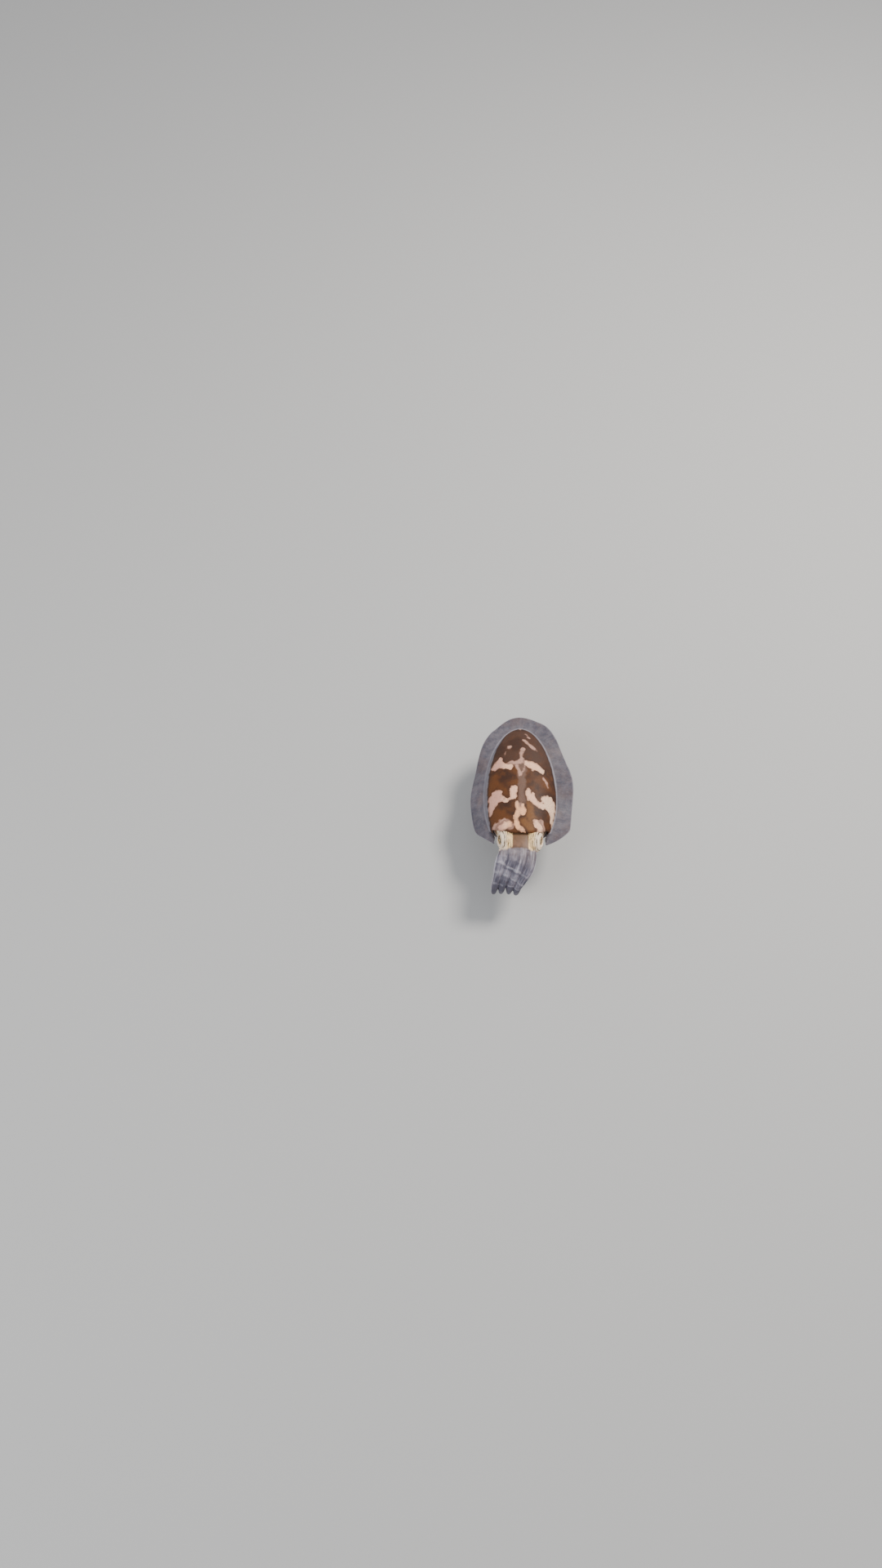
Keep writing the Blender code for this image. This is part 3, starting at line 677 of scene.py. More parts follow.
def mantle_skin():
    skin = Finish(
        "mantle_skin", Coat_Weight=0.06, Coat_Roughness=0.35, Coat_IOR=1.4, IOR=1.38,
        Specular_IOR_Level=0.32, Subsurface_Weight=0.05, Subsurface_Scale=0.003,
    )
    broad = skin.noise(0.026, 2.0)
    mottle = skin.noise(0.0085, 3.0, 0.6)
    fine = skin.noise(0.0026, 3.0, 0.6)
    spots = skin.speckles(0.0011, 0.42)
    # The edges of the patches wander by a millimetre or two and stay fairly crisp
    wander = (skin.noise(0.0070, 1.4) - 0.5) * 7.0 + (fine - 0.5) * 0.7
    bright_edge = skin.attribute("bright") + wander
    bright = 1 - bright_edge.step(-0.7, 0.6)
    faint = 1 - (skin.attribute("faint") + wander).step(-1.4, 1.0)
    stripe = 1 - (skin.attribute("stripe") + wander).step(-2.4, 2.0)
    golden = 1 - (skin.attribute("golden") + wander).step(-3.0, 3.0)

    # Rich brown in clouds, duller and more even behind the band across the back
    clouds = broad.step(0.34, 0.60)
    colour = (clouds * 0.85).mix(BROWN_DARK, BROWN_RICH)
    tail = skin.along(1).step(0.018, 0.034)
    colour = (tail * (clouds * 0.57 + 0.35)).mix(colour, BROWN_TAIL)
    colour = (mottle.step(0.48, 0.70) * (0.45 - tail * 0.25)).mix(colour, BROWN_RICH)
    colour = (golden * 0.80).mix(colour, BROWN_GOLD)
    colour = (stripe * 0.80).mix(colour, PINKISH_GREY)
    colour = (faint * 0.78).mix(colour, PALE_FAINT)
    # The brown is deepest in a narrow band round each pale patch
    band = (1 - bright_edge.step(0.8, 4.0)) * 0.45
    colour = band.mix(colour, BROWN_DARK)
    # A patch is a darker rose on the animal's right, as painted shade on the side away
    # from the light, cream on its left and peach in the middle of the front, all of it
    # dull towards its edge
    aside = skin.along(0)
    pale = aside.step(-0.030, -0.020).mix(PALE_ROSE_PAINTED_SHADE, PALE_BRIGHT)
    pale = (aside.step(0.022, 0.036) * 0.85).mix(pale, PALE_CREAM)
    middle = 1 - aside.maths("ABSOLUTE").step(0.012, 0.020)
    front = 1 - skin.along(1).step(along_body(0.83), along_body(0.76))
    pale = (middle * front * 0.9).mix(pale, PALE_PEACH)
    pale = (fine.step(0.32, 0.66) * 0.22 + 0.78).mix(PALE_RIM, pale)
    pale = (bright_edge.step(-2.8, -0.4) * mottle.step(0.34, 0.60) * 0.70).mix(pale, PALE_RIM)
    colour = (bright * 0.97).mix(colour, pale)
    colour = (spots * (0.30 - bright * 0.16)).mix(colour, BROWN_DARK)
    # A dark line runs just inside the margin, and the underside is pale
    off = skin.attribute("off_mantle")
    inward = skin.attribute("inward") + wander * 0.2 - skin.attribute("fin_creep")
    rim = (1 - inward.step(0.6, 3.2)) * (0.84 - bright * 0.50)
    colour = rim.mix(colour, BROWN_DARK)
    height = skin.along(2)
    wavy_height = height + (mottle - 0.5) * 0.006
    below = 1 - wavy_height.step(MARGIN_HEIGHT - 0.006, MARGIN_HEIGHT - 0.001)
    belly = (fine.step(0.35, 0.75) * 0.25 + spots * 0.14).mix(BELLY_PALE, PINKISH_GREY)
    flank = height.step(MARGIN_HEIGHT - 0.017, MARGIN_HEIGHT - 0.005)
    belly = (flank * 0.75).mix(belly, FIN_GREY)
    colour = below.mix(colour, belly)

    # Fins: a thin pale line at the root, the fin base's own pale line with a painted
    # highlight on it, then a grey veil with faint cross lines
    across = skin.attribute("fin_across")
    along = skin.attribute("fin_along")
    lines = (along * 700.0 + (mottle - 0.5) * 9.0).maths("SINE")
    veil = (mottle.step(0.3, 0.7) * 0.6 + lines * 0.05 + across * 0.15).mix(FIN_GREY, FIN_DARK)
    veil = (fine.step(0.56, 0.74) * 0.22).mix(veil, FIN_PALE)
    veil = (broad.step(0.45, 0.70) * 0.25).mix(veil, PINKISH_GREY)
    # The pale line at the fin root is partly painted highlight
    root = (1 - (off + wander * 0.15).step(0.8, 3.2)) * (0.30 + off.step(0.05, 0.25) * 0.30)
    veil = root.mix(veil, FIN_PALE)
    veil = (across.step(0.95, 0.995) * 0.55).mix(veil, FIN_PALE)
    fin = off.step(0.20, 1.10).maths("MAXIMUM", 1 - (inward + wander * 0.25).step(-1.2, 0.9))
    colour = fin.mix(colour, veil)
    skin.feed("Base Color", colour)
    skin.feed("Roughness", 0.50 + fine * 0.20 - bright * 0.04)
    pits = mottle * 0.7 + fine * 0.5 + skin.noise(0.0011, 2.0) * 0.25
    skin.bumps(pits, 0.0008, 0.5)
    return skin.material


mantle.data.materials.clear()
mantle.data.materials.append(mantle_skin())
mantle.data.shade_smooth()

# Head, funnel and arms
# The head sits in the mantle's collar, with a dome over each eye and the funnel under
# it. Eight arms hang from it in two rows, held together in one apron that leans to the
# animal's right. All is one soft skin, fused to the mantle deep inside the collar.

GAP = 0.0003
HEAD_LENGTH = 0.044
HEAD_BEND = -0.0034
HEAD_SIDES = 96
HEAD_STATIONS = 60
HEAD_PROFILE = (
    # share of length, half width, rise, drop
    (0.00, 0.0362, 0.0170, 0.0148),
    (0.20, 0.0356, 0.0170, 0.0150),
    (0.36, 0.0310, 0.0169, 0.0153),
    (0.52, 0.0272, 0.0171, 0.0157),
    (0.68, 0.0258, 0.0173, 0.0162),
    (0.84, 0.0256, 0.0172, 0.0167),
    (1.00, 0.0256, 0.0171, 0.0170),
)
EYE_RADIUS = 0.0102
LID_THICKNESS = 0.0017
ORBIT_RADIUS = EYE_RADIUS + GAP + LID_THICKNESS
ORBIT_STRETCH = 1.42
EYE_OFFSET = 0.0193
EYE_FORWARD = 0.0258
EYE_HEIGHT = 0.0076
BALL_SEGMENTS = 64
GAZE = Vector((0.86, -0.22, 0.46)).normalized()
LID_HALF_LENGTH = 0.0078
LID_HALF_HEIGHT = 0.0050
LID_SIDES = 48
# The plug that parts the lids: how far out, in eye radii, and how spread the oval is
LID_PLUG = ((0.25, 0.92), (0.95, 0.96), (1.25, 1.10), (2.0, 1.5))
LID_FOLDS = (
    # lift over the eyeball, spread of the oval, thickness, whether only above the eye
    (0.0011, 1.07, 0.0010, False),
    (0.0017, 1.36, 0.0008, True),
)
FUNNEL_LENGTH = 0.034
FUNNEL_ROOT = (0.0125, 0.0085)
FUNNEL_MOUTH = (0.0056, 0.0050)
FUNNEL_BORE = 0.0036
FUNNEL_ROOT_DEPTH = 0.0105
FUNNEL_MOUTH_DEPTH = 0.0190
FUNNEL_STATIONS = 12
FUNNEL_SIDES = 40
ARM_REACH = 0.069
DROOP_END = 104.0  # degrees below level
DROOP_DELAY = 1.25
LEAN = 26.0  # degrees towards the animal's right
BUNDLE_STEPS = 240
ARM_PAIRS = (
    # pair, row, length, width, height at the root, and how far aside of the middle it
    # lies at the root and at the end
    (1, 1, 0.062, 0.0123, 0.0108, 0.0064, 0.0051),
    (2, 1, 0.064, 0.0123, 0.0062, 0.0192, 0.0153),
    (3, -1, 0.067, 0.0123, 0.0062, 0.0192, 0.0153),
    (4, -1, 0.069, 0.0123, 0.0108, 0.0064, 0.0051),
)
ARM_SIDES = 32
ARM_STATIONS = 58
# Points on each arm's surface from which the skin learns where it lies
ARM_SAMPLE_SIDES = 64
ARM_SAMPLE_STATIONS = 140
# Shares of an arm's full width, or of its length where it says so
ARM_TIP_SHARE = 0.10
ARM_NARROWING = 0.21
ARM_OUTER_SHARE = 0.46
ARM_INNER_SHARE = 0.34
ARM_PLUMP = 1.035
SUCKER_HEIGHT_SHARE = 0.12
ROW_WEB_REACH = 0.40  # of the length
ROW_WEB_HALF_WIDTH = 0.26
ROW_WEB_HALF_HEIGHT = (0.30, 0.10)
ROW_WEB_STATIONS = 14
ROW_WEB_SIDES = 20
FLANK_WEB_ROOT = 0.01  # of the length
FLANK_WEB_REACH = 0.12  # of the length, in the middle
FLANK_WEB_EDGE_REACH = 0.20  # of the length, and so much more along the arms
FLANK_WEB_ASIDE = 0.40
FLANK_WEB_HALF_THICKNESS = 0.115
FLANK_WEB_STATIONS = 16
FLANK_WEB_SIDES = 24
ARM_ROUNDNESS = 0.88
ARM_KEEL = {1: 0.0004, -1: 0.0034}
CROWN_WEB_OVAL = (0.0218, 0.0132, 0.0132)
CROWN_WEB_HALF_WIDTH = 0.0030
CROWN_WEB_HALF_LENGTH = 0.0072
ROLL_ROUNDS = 72
ROLL_SIDES = 14
NECK_Y = along_body(1.0) + COLLAR_DEPTH - GAP
CROWN_Y = NECK_Y - HEAD_LENGTH
SKIN_VOXEL = 0.00072


def head_form():
    shares, *profile = np.array(HEAD_PROFILE).T
    rings = []
    # The first ring reaches into the mantle's flesh, behind the collar's hollow
    for share in [-0.06] + [i / HEAD_STATIONS for i in range(HEAD_STATIONS + 1)]:
        sizes = [np.interp(share, shares, size) for size in profile]
        outline = section(*sizes, HEAD_SQUARENESS, HEAD_SIDES)
        y = NECK_Y - HEAD_LENGTH * share
        # Its front turns a little aside, towards the animal's right
        bend = HEAD_BEND * smooth((share - 0.40) / 0.60)
        rings.append([Vector((x + bend, y, MARGIN_HEIGHT + z)) for x, z, _ in outline])
    return form_from_ball("head_and_arms", rings)


def eye_centre(side):
    return Vector((side * EYE_OFFSET, NECK_Y - EYE_FORWARD, MARGIN_HEIGHT + EYE_HEIGHT))


def eye_axes(side):
    """Where the eye looks, then along its lids and up across them."""
    gaze = Vector((side * GAZE.x, GAZE.y, GAZE.z))
    along = gaze.cross(Vector((0, 0, 1))).normalized()
    return gaze, along, along.cross(gaze).normalized()


def ball(name, centre, radius, stretch=1.0):
    select_nothing()
    bpy.ops.mesh.primitive_uv_sphere_add(
        segments=BALL_SEGMENTS, ring_count=BALL_SEGMENTS // 2, radius=radius, location=centre
    )
    obj = bpy.context.object
    obj.name = name
    obj.scale.y = stretch
    bpy.ops.object.transform_apply(location=True, rotation=True, scale=True)
    return obj


def lid_oval(turn):
    """The opening between the lids: an oval with drawn-out corners, flatter below."""
    up = math.sin(turn)
    height = LID_HALF_HEIGHT * (0.96 if up > 0 else 0.86)
    return LID_HALF_LENGTH * math.cos(turn), height * signed_power(up, 1.3)


def lid_opening(side):
    """An oval plug, from the middle of the eye outward, that parts the lids."""
    gaze, along, above = eye_axes(side)
    rings = []
    for reach, spread in LID_PLUG:
        middle = eye_centre(side) + gaze * reach * EYE_RADIUS
        oval = [lid_oval(turn) for turn in turns(LID_SIDES)]
        rings.append([middle + along * spread * x + above * spread * y for x, y in oval])
    return form_from_ball("lid_opening", rings)


def on_lid(side, turn, lift, spread):
    """A point over the eyeball, at a turn round the oval of the lids."""
    gaze, along, above = eye_axes(side)
    x, y = (size * spread for size in lid_oval(turn))
    reach = math.sqrt(max((EYE_RADIUS + lift) ** 2 - x * x - y * y, 1e-8))
    return eye_centre(side) + along * x + above * y + gaze * reach


def form_from_ring(name, points):
    """Adds a torus and draws it out into a soft roll through the given points."""
    select_nothing()
    bpy.ops.mesh.primitive_torus_add(
        major_segments=ROLL_ROUNDS, minor_segments=ROLL_SIDES, major_radius=1, minor_radius=0.2
    )
    obj = bpy.context.object
    obj.name = name
    obj.data.vertices.foreach_set("co", np.array(points).ravel())
    turn_faces_out(obj)
    return obj


def lid_fold(side, lift, spread, thickness, only_above):
    """A soft roll of skin round the eye, fuller above than below. A brow runs only
    above the eye: elsewhere it sinks into the head."""
    points = []
    for turn in turns(ROLL_ROUNDS):
        shown = smooth(0.5 + 0.9 * math.sin(turn)) if only_above else 1.0
        here = on_lid(side, turn, lift - 0.0022 * (1 - shown), spread)
        ahead = on_lid(side, turn + 0.01, lift, spread) - on_lid(side, turn - 0.01, lift, spread)
        out = (here - eye_centre(side)).normalized()
        aside = ahead.normalized().cross(out).normalized()
        size = thickness * (1 + 0.30 * math.sin(turn) + 0.10 * math.sin(3.0 * turn + 0.7))
        for angle in turns(ROLL_SIDES):
            points.append(here + (out * math.cos(angle) + aside * math.sin(angle)) * size)
    return form_from_ring("lid_fold", points)


def funnel_ring(share, scale=1.0):
    taper = share ** 0.8
    half_width = between(FUNNEL_ROOT[0], FUNNEL_MOUTH[0], taper) * scale
    half_depth = between(FUNNEL_ROOT[1], FUNNEL_MOUTH[1], taper) * scale
    depth = between(FUNNEL_ROOT_DEPTH, FUNNEL_MOUTH_DEPTH, taper)
    middle = Vector((0, NECK_Y - FUNNEL_LENGTH * share, MARGIN_HEIGHT - depth))
    return [
        middle + Vector((half_width * math.cos(turn), 0, half_depth * math.sin(turn)))
        for turn in turns(FUNNEL_SIDES)
    ]


def funnel_form():
    """A soft tube whose mouth is open a little way in."""
    rings = [funnel_ring(i / FUNNEL_STATIONS) for i in range(FUNNEL_STATIONS + 1)]
    bore = FUNNEL_BORE / FUNNEL_MOUTH[0]
    rings.append(funnel_ring(1.0, bore * 1.15))
    rings += [funnel_ring(share, bore) for share in (0.97, 0.90, 0.82, 0.75)]
    return form_from_ball("funnel", rings)


def bundle_line():
    """Points of the curve that the arms follow, each with its heading, the direction
    across the bundle and the direction out of its upper side."""
    point = Vector((HEAD_BEND, CROWN_Y - GAP, MARGIN_HEIGHT))
    line = []
    for i in range(BUNDLE_STEPS + 1):
        share = i / BUNDLE_STEPS
        droop = math.radians(DROOP_END * share ** DROOP_DELAY)
        # The bundle leans aside at first and hangs almost straight at its end
        lean = LEAN * smooth(share / 0.30) * (1 - 0.9 * smooth((share - 0.42) / 0.42))
        lean = math.radians(lean)
        downward = Vector((0, -math.cos(droop), -math.sin(droop)))
        heading = Vector((-math.sin(lean), 0, 0)) + downward * math.cos(lean)
        across = Vector((math.cos(lean), 0, 0)) + downward * math.sin(lean)
        line.append((point, heading, across, heading.cross(across)))
        point = point + heading * (ARM_REACH / BUNDLE_STEPS)
    return line


BUNDLE = bundle_line()


def on_bundle(distance):
    """The same four at a distance along the curve."""
    place = min(max(distance / ARM_REACH, 0.0), 1.0) * (len(BUNDLE) - 1)
    low = min(int(place), len(BUNDLE) - 2)
    return [a.lerp(b, place - low) for a, b in zip(BUNDLE[low], BUNDLE[low + 1])]


class Arm:
    """One arm of a pair, with its own length, width and place in the bundle."""

    def __init__(self, side, pair, row, length, width, root_height, root_offset, end_offset):
        self.name = f"arm_{'left' if side > 0 else 'right'}_{pair}"
        self.side = side
        self.row = row
        self.length = length
        self.width = width
        self.root_height = root_height
        self.root_offset = root_offset
        self.end_offset = end_offset
        # Each real tip strays a little from its neighbours
        self.stray = 0.0005 * math.sin(2.1 * pair + 0.9 * side)

    def width_at(self, s):
        """Narrower past the root, then even, then quickly down to a fine tip."""
        narrowing = ARM_NARROWING * smooth((s - 0.12) / 0.55)
        tip = (1 - ARM_NARROWING - ARM_TIP_SHARE) * s ** 8
        return self.width * (1 - narrowing - tip)

    def keel(self, s):
        """How far the low keel on the outer flank of the outermost arms stands out."""
        if self.root_offset < 0.012:
            return 0.0
        return ARM_KEEL[self.side] * math.sin(math.pi * min(s / 0.62, 1.0))

    def middle(self, s):
        """A point of the arm's middle line, at share s of its length."""
        point, _, across, upward = on_bundle(s * self.length)
        reach = smooth((s * self.length / ARM_REACH - 0.10) / 0.60)
        offset = between(self.root_offset, self.end_offset, reach) + self.stray * s ** 3
        inner = (ARM_INNER_SHARE + SUCKER_HEIGHT_SHARE) * self.width_at(s) + GAP
        height = max(inner, between(self.root_height, inner, smooth(s * 1.6)))
        return point + across * (self.side * offset) + upward * (self.row * height)

    def frame(self, s):
        """Heading, the direction out of the bundle, and the direction across."""
        if s < 0.02:
            heading = Vector((0, -1, 0))
        else:
            heading = (self.middle(min(s + 0.01, 1.0)) - self.middle(s - 0.01)).normalized()
        upward = on_bundle(s * self.length)[3] * self.row
        outward = (upward - heading * upward.dot(heading)).normalized()
        return heading, outward, heading.cross(outward)

    def ring(self, s, sides=ARM_SIDES):
        """The arm's section: round on the outside, flatter on the sucker side, and
        plump enough to lie against its neighbours."""
        _, outward, across = self.frame(s)
        width = self.width_at(s)
        outer = -self.side * self.row
        points = []
        for angle in turns(sides):
            side = signed_power(math.cos(angle), ARM_ROUNDNESS)
            up = signed_power(math.sin(angle), ARM_ROUNDNESS)
            depth = ARM_OUTER_SHARE if up > 0 else ARM_INNER_SHARE
            keel = outer * self.keel(s) * max(0.0, outer * side) ** 5
            points.append(
                self.middle(s)
                + across * (width / 2 * ARM_PLUMP * side + keel)
                + outward * (width * depth * up)
            )
        return points

    def form(self):
        shares = [(i / ARM_STATIONS) ** 0.97 for i in range(ARM_STATIONS + 1)]
        rings = [self.ring(s) for s in shares]
        root = [point + Vector((0, 0.004, 0)) for point in rings[0]]
        tip = self.middle(1.0) + self.frame(1.0)[0] * self.width_at(1.0) * 0.6
        return form_from_ball(self.name, [root] + rings, end=tip)


ARMS = [Arm(side, *sizes) for sizes in ARM_PAIRS for side in (1, -1)]


def crown_web():
    """A soft web that fills the corners between the arms' roots and the head."""
    points = []
    for x, z, turn in section(*CROWN_WEB_OVAL, HEAD_SQUARENESS, ROLL_ROUNDS):
        middle = Vector((HEAD_BEND + x, CROWN_Y + 0.0002, MARGIN_HEIGHT + z))
        out = Vector((math.cos(turn), 0, math.sin(turn)))
        for angle in turns(ROLL_SIDES):
            aside = out * math.cos(angle) * CROWN_WEB_HALF_WIDTH
            ahead = Vector((0, math.sin(angle) * CROWN_WEB_HALF_LENGTH, 0))
            points.append(middle + (aside + ahead))
    return form_from_ring("crown_web", points)


def web_between(first, second):
    """A tapering strip of skin in the groove between two neighbouring arms."""
    rings = []
    for i in range(ROW_WEB_STATIONS + 1):
        s = ROW_WEB_REACH * i / ROW_WEB_STATIONS
        _, outward, across = first.frame(s)
        middle = (first.middle(s) + second.middle(s)) / 2
        half_width = first.width_at(s) * ROW_WEB_HALF_WIDTH
        half_height = first.width_at(s) * between(*ROW_WEB_HALF_HEIGHT, i / ROW_WEB_STATIONS)
        rings.append(
            [
                middle
                + across * half_width * math.cos(turn)
                + outward * half_height * math.sin(turn)
                for turn in turns(ROW_WEB_SIDES)
            ]
        )
    return form_from_ball("web", rings)


def web_aside(upper, lower, inner):
    """The thin skin on the outer flank that joins the upper row of arms to the lower
    one near the head, with a hollow free edge."""
    rings = []
    for i in range(FLANK_WEB_STATIONS + 1):
        down = i / FLANK_WEB_STATIONS
        reach = FLANK_WEB_REACH + FLANK_WEB_EDGE_REACH * abs(2 * down - 1) ** 2.2
        ring = []
        for turn in turns(FLANK_WEB_SIDES):
            s = FLANK_WEB_ROOT + (reach - FLANK_WEB_ROOT) * (0.5 + 0.5 * math.cos(turn))
            outer = (upper.middle(s) - inner.middle(s)).normalized()
            aside = FLANK_WEB_ASIDE + FLANK_WEB_HALF_THICKNESS * math.sin(turn)
            aside *= upper.width_at(s)
            ring.append(upper.middle(s).lerp(lower.middle(s), down) + outer * aside)
        rings.append(ring)
    return form_from_ball("web", rings)


head = head_form()
for side in (1, -1):
    combine(head, ball("orbit", eye_centre(side), ORBIT_RADIUS, ORBIT_STRETCH), "UNION")
for side in (1, -1):
    combine(head, ball("socket", eye_centre(side), EYE_RADIUS + GAP), "DIFFERENCE")
    combine(head, lid_opening(side), "DIFFERENCE")
forms = [head, funnel_form(), crown_web()] + [arm.form() for arm in ARMS]
# Neighbours in each row, from the animal's left to its right
for row in ((2, 0, 1, 3), (4, 6, 7, 5)):
    forms += [web_between(ARMS[i], ARMS[j]) for i, j in zip(row, row[1:])]
forms += [web_aside(ARMS[2], ARMS[4], ARMS[0]), web_aside(ARMS[3], ARMS[5], ARMS[1])]
forms += [lid_fold(side, *fold) for side in (1, -1) for fold in LID_FOLDS]
select_nothing()
for form in forms:
    form.select_set(True)
bpy.context.view_layer.objects.active = head
bpy.ops.object.join()
remesh = head.modifiers.new("one_skin", "REMESH")
remesh.mode = "VOXEL"
remesh.voxel_size = SKIN_VOXEL
even = head.modifiers.new("even", "SMOOTH")
even.factor = 0.5
even.iterations = 4
apply_modifiers(head)

# Each point of an arm knows its share of the length, how far round it lies, and
# which arm it is on
arm_points, arm_facts = [], []
for number, arm in enumerate(ARMS):
    for s in [i / ARM_SAMPLE_STATIONS for i in range(ARM_SAMPLE_STATIONS + 1)]:
        arm_points += arm.ring(s, ARM_SAMPLE_SIDES)
        for turn in turns(ARM_SAMPLE_SIDES):
            arm_facts.append((s, math.sin(turn), math.cos(turn), number))
places = vertex_places(head)
share, outer, aside, number = np.array(arm_facts)[nearest_index(arm_points, places)].T


def evened(obj, values):
    """The values after each point has taken its neighbours' average, three times."""
    ends = np.array([tuple(edge.vertices) for edge in obj.data.edges])
    count = np.bincount(ends.ravel(), minlength=len(values))
    for _ in range(3):
        total = np.bincount(ends[:, 0], values[ends[:, 1]], len(values))
        total += np.bincount(ends[:, 1], values[ends[:, 0]], len(values))
        values = total / count
    return values


share = np.where(places[:, 1] < CROWN_Y + 0.002, share, 0.0)
store(head, "arm_along", evened(head, share))
store(head, "arm_outer", evened(head, outer))
store(head, "arm_aside", evened(head, aside))
store(head, "arm_flank", evened(head, np.abs(aside)))
store(head, "arm_number", number)
# 1 along the outer flank of the outermost arms, where the apron ends
outermost = np.isin(number, (2, 3, 4, 5))
outer_flank = np.where(np.isin(number, (3, 4)), 1, -1)
store(head, "apron_edge", np.where(outermost, outer_flank * aside, 0.0))

HEAD_BROWN = linear(124, 90, 68)
HEAD_DEEP = linear(81, 58, 43)
HEAD_OLIVE = linear(103, 76, 49)
DOME_GOLD = linear(255, 216, 156)
DOME_WHITE = linear(246, 222, 196)
DOME_OLIVE = linear(146, 116, 78)
DOME_LINE = linear(80, 62, 42)
DOME_STRETCH = 1.45
DOME_EDGE = (0.0150, 0.0166)
DOME_INNER_EDGE = (0.0100, 0.0116)
# Dark arcs of a dome: angle from the gaze in radians, half width, depth of colour
DOME_ARCS = (
    # The first arc, in the crease just outside the lids' rim, is painted shade
    (0.52, 0.030, 0.50),
    (0.86, 0.072, 1.00),
    (1.09, 0.040, 0.80),
    (1.30, 0.070, 0.95),
    (1.53, 0.040, 0.70),
)
ARM_LAVENDER = linear(147, 140, 151)
ARM_DARK = linear(77, 73, 86)
ARM_BROWNISH = linear(120, 104, 101)
ARM_WHITE = linear(201, 196, 203)


def head_skin():
    skin = Finish(
        "head_skin", Coat_Weight=0.12, Coat_Roughness=0.32, Coat_IOR=1.4, IOR=1.38,
        Subsurface_Weight=0.06, Subsurface_Scale=0.003,
    )
    broad = skin.noise(0.016, 2.0)
    mottle = skin.noise(0.0060, 3.0, 0.6)
    fine = skin.noise(0.0020, 3.0, 0.6)
    spots = skin.speckles(0.0009, 0.42)
    sideways = skin.along(0).maths("ABSOLUTE")
    forward = skin.along(1) * -1.0
    height = skin.along(2)
    wander = (mottle - 0.5) * 0.004 + (fine - 0.5) * 0.0012

    colour = (mottle.step(0.38, 0.68) * 0.5).mix(HEAD_BROWN, HEAD_DEEP)
    colour = (broad.step(0.40, 0.65) * 0.5).mix(colour, HEAD_BROWN)
    # The top is olive at the back and darkens again at the crown
    front = (forward + wander).step(-CROWN_Y - 0.022, -CROWN_Y - 0.007)
    colour = ((1 - front) * 0.60).mix(colour, HEAD_OLIVE)
    crown = (forward + wander * 0.6).step(-CROWN_Y - 0.0060, -CROWN_Y - 0.0025)
    colour = (crown * 0.65).mix(colour, HEAD_DEEP)
    # Domes: gold towards the middle, white outside, with dark arcs round the eye
    aside = sideways - EYE_OFFSET
    fore = (forward + (NECK_Y - EYE_FORWARD)) / DOME_STRETCH
    above = height - (MARGIN_HEIGHT + EYE_HEIGHT)
    radius = (aside * aside + fore * fore + above * above).maths("SQRT")
    facing = aside * GAZE.x + fore * (-GAZE.y) + above * GAZE.z
    turn = (facing / radius).maths("ARCCOSINE")
    dome = 1 - (radius + wander * 0.5).step(*DOME_EDGE)
    inward = (sideways + wander * 0.5).step(*DOME_INNER_EDGE)
    pale = (turn + wander * 90.0).step(0.85, 1.30).mix(DOME_WHITE, DOME_GOLD)
    olive = mottle.step(0.45, 0.64) * (turn + wander * 60.0).step(0.55, 0.80)
    pale = (olive * 0.50).mix(pale, DOME_OLIVE)
    # Each arc fades and thickens along its length
    for arc, width, depth in DOME_ARCS:
        broken = skin.noise(0.0085 + arc * 0.002, 1.5).step(0.34, 0.54)
        away = (turn + wander * 44.0 - arc).maths("ABSOLUTE")
        line = (1 - away.step(width * 0.2, width * 1.5)) * (broken * 0.75 + 0.25)
        pale = (line * depth).mix(pale, DOME_LINE)
    colour = (dome * inward).mix(colour, pale)
    # The flanks and underside are paler and greyer
    below = 1 - (height + wander).step(MARGIN_HEIGHT - 0.006, MARGIN_HEIGHT + 0.004)
    flank = height.step(MARGIN_HEIGHT - 0.015, MARGIN_HEIGHT - 0.003)
    colour = (below * 0.85).mix(colour, (flank * 0.6).mix(BELLY_PALE, FIN_GREY))
    colour = (spots * 0.25).mix(colour, HEAD_DEEP)

    # Arms: lavender, streaked along their length
    along = skin.attribute("arm_along")
    outer = skin.attribute("arm_outer")
    strand = skin.anything.make(
        "ShaderNodeCombineXYZ",
        {},
        {
            "X": outer * 2.2 + skin.attribute("arm_number") * 7.3,
            "Y": skin.attribute("arm_aside") * 2.2,
            "Z": along * 2.6,
        },
    )
    streaks = skin.noise(0.625, 2.4, place=strand)
    # They fade on the flanks, where one arm meets the next
    arm_flank = skin.attribute("arm_flank")
    meeting = arm_flank.step(0.62, 0.90)
    streaks = (streaks - 0.5) * (1 - meeting) + 0.5
    # Soft bands cross all arms at much the same height, each pale with a dark edge
    height_on_arm = along * 38.0 + (broad - 0.5) * 3.4 + (mottle - 0.5) * 2.2 + 0.9
    rungs = height_on_arm.maths("SINE")
    shades = (height_on_arm - 1.3).maths("SINE")
    patchy = broad.step(0.40, 0.62) * 0.7 + streaks.step(0.36, 0.62) * 0.45
    arm = patchy.mix(ARM_DARK, ARM_LAVENDER)
    arm = ((1 - along.step(0.02, 0.30)) * 0.55).mix(arm, ARM_BROWNISH)
    arm = (streaks.step(0.54, 0.72) * 0.42).mix(arm, ARM_WHITE)
    banded = along.step(0.14, 0.30) * skin.noise(0.011, 2.0).step(0.36, 0.56)
    banded = banded * (1 - along.step(0.80, 0.88) * 0.8)
    arm = (shades.step(0.30, 1.0) * banded * 0.50).mix(arm, ARM_DARK)
    arm = (rungs.step(0.50, 1.0) * banded * 0.34).mix(arm, ARM_WHITE)
    # Painted shade in the grooves between them and towards their ends
    groove = (arm_flank + (fine - 0.5) * 0.16).step(0.74, 0.94)
    arm = (groove * outer.step(-0.4, 0.1) * 0.45).mix(arm, ARM_DARK)
    # Painted shade darkens the ends, where they hang down and curl under
    lower = (along + (mottle - 0.5) * 0.10).step(0.48, 0.74)
    arm = (lower * (0.86 - rungs.step(0.70, 1.0) * banded * 0.45)).mix(arm, ARM_DARK)
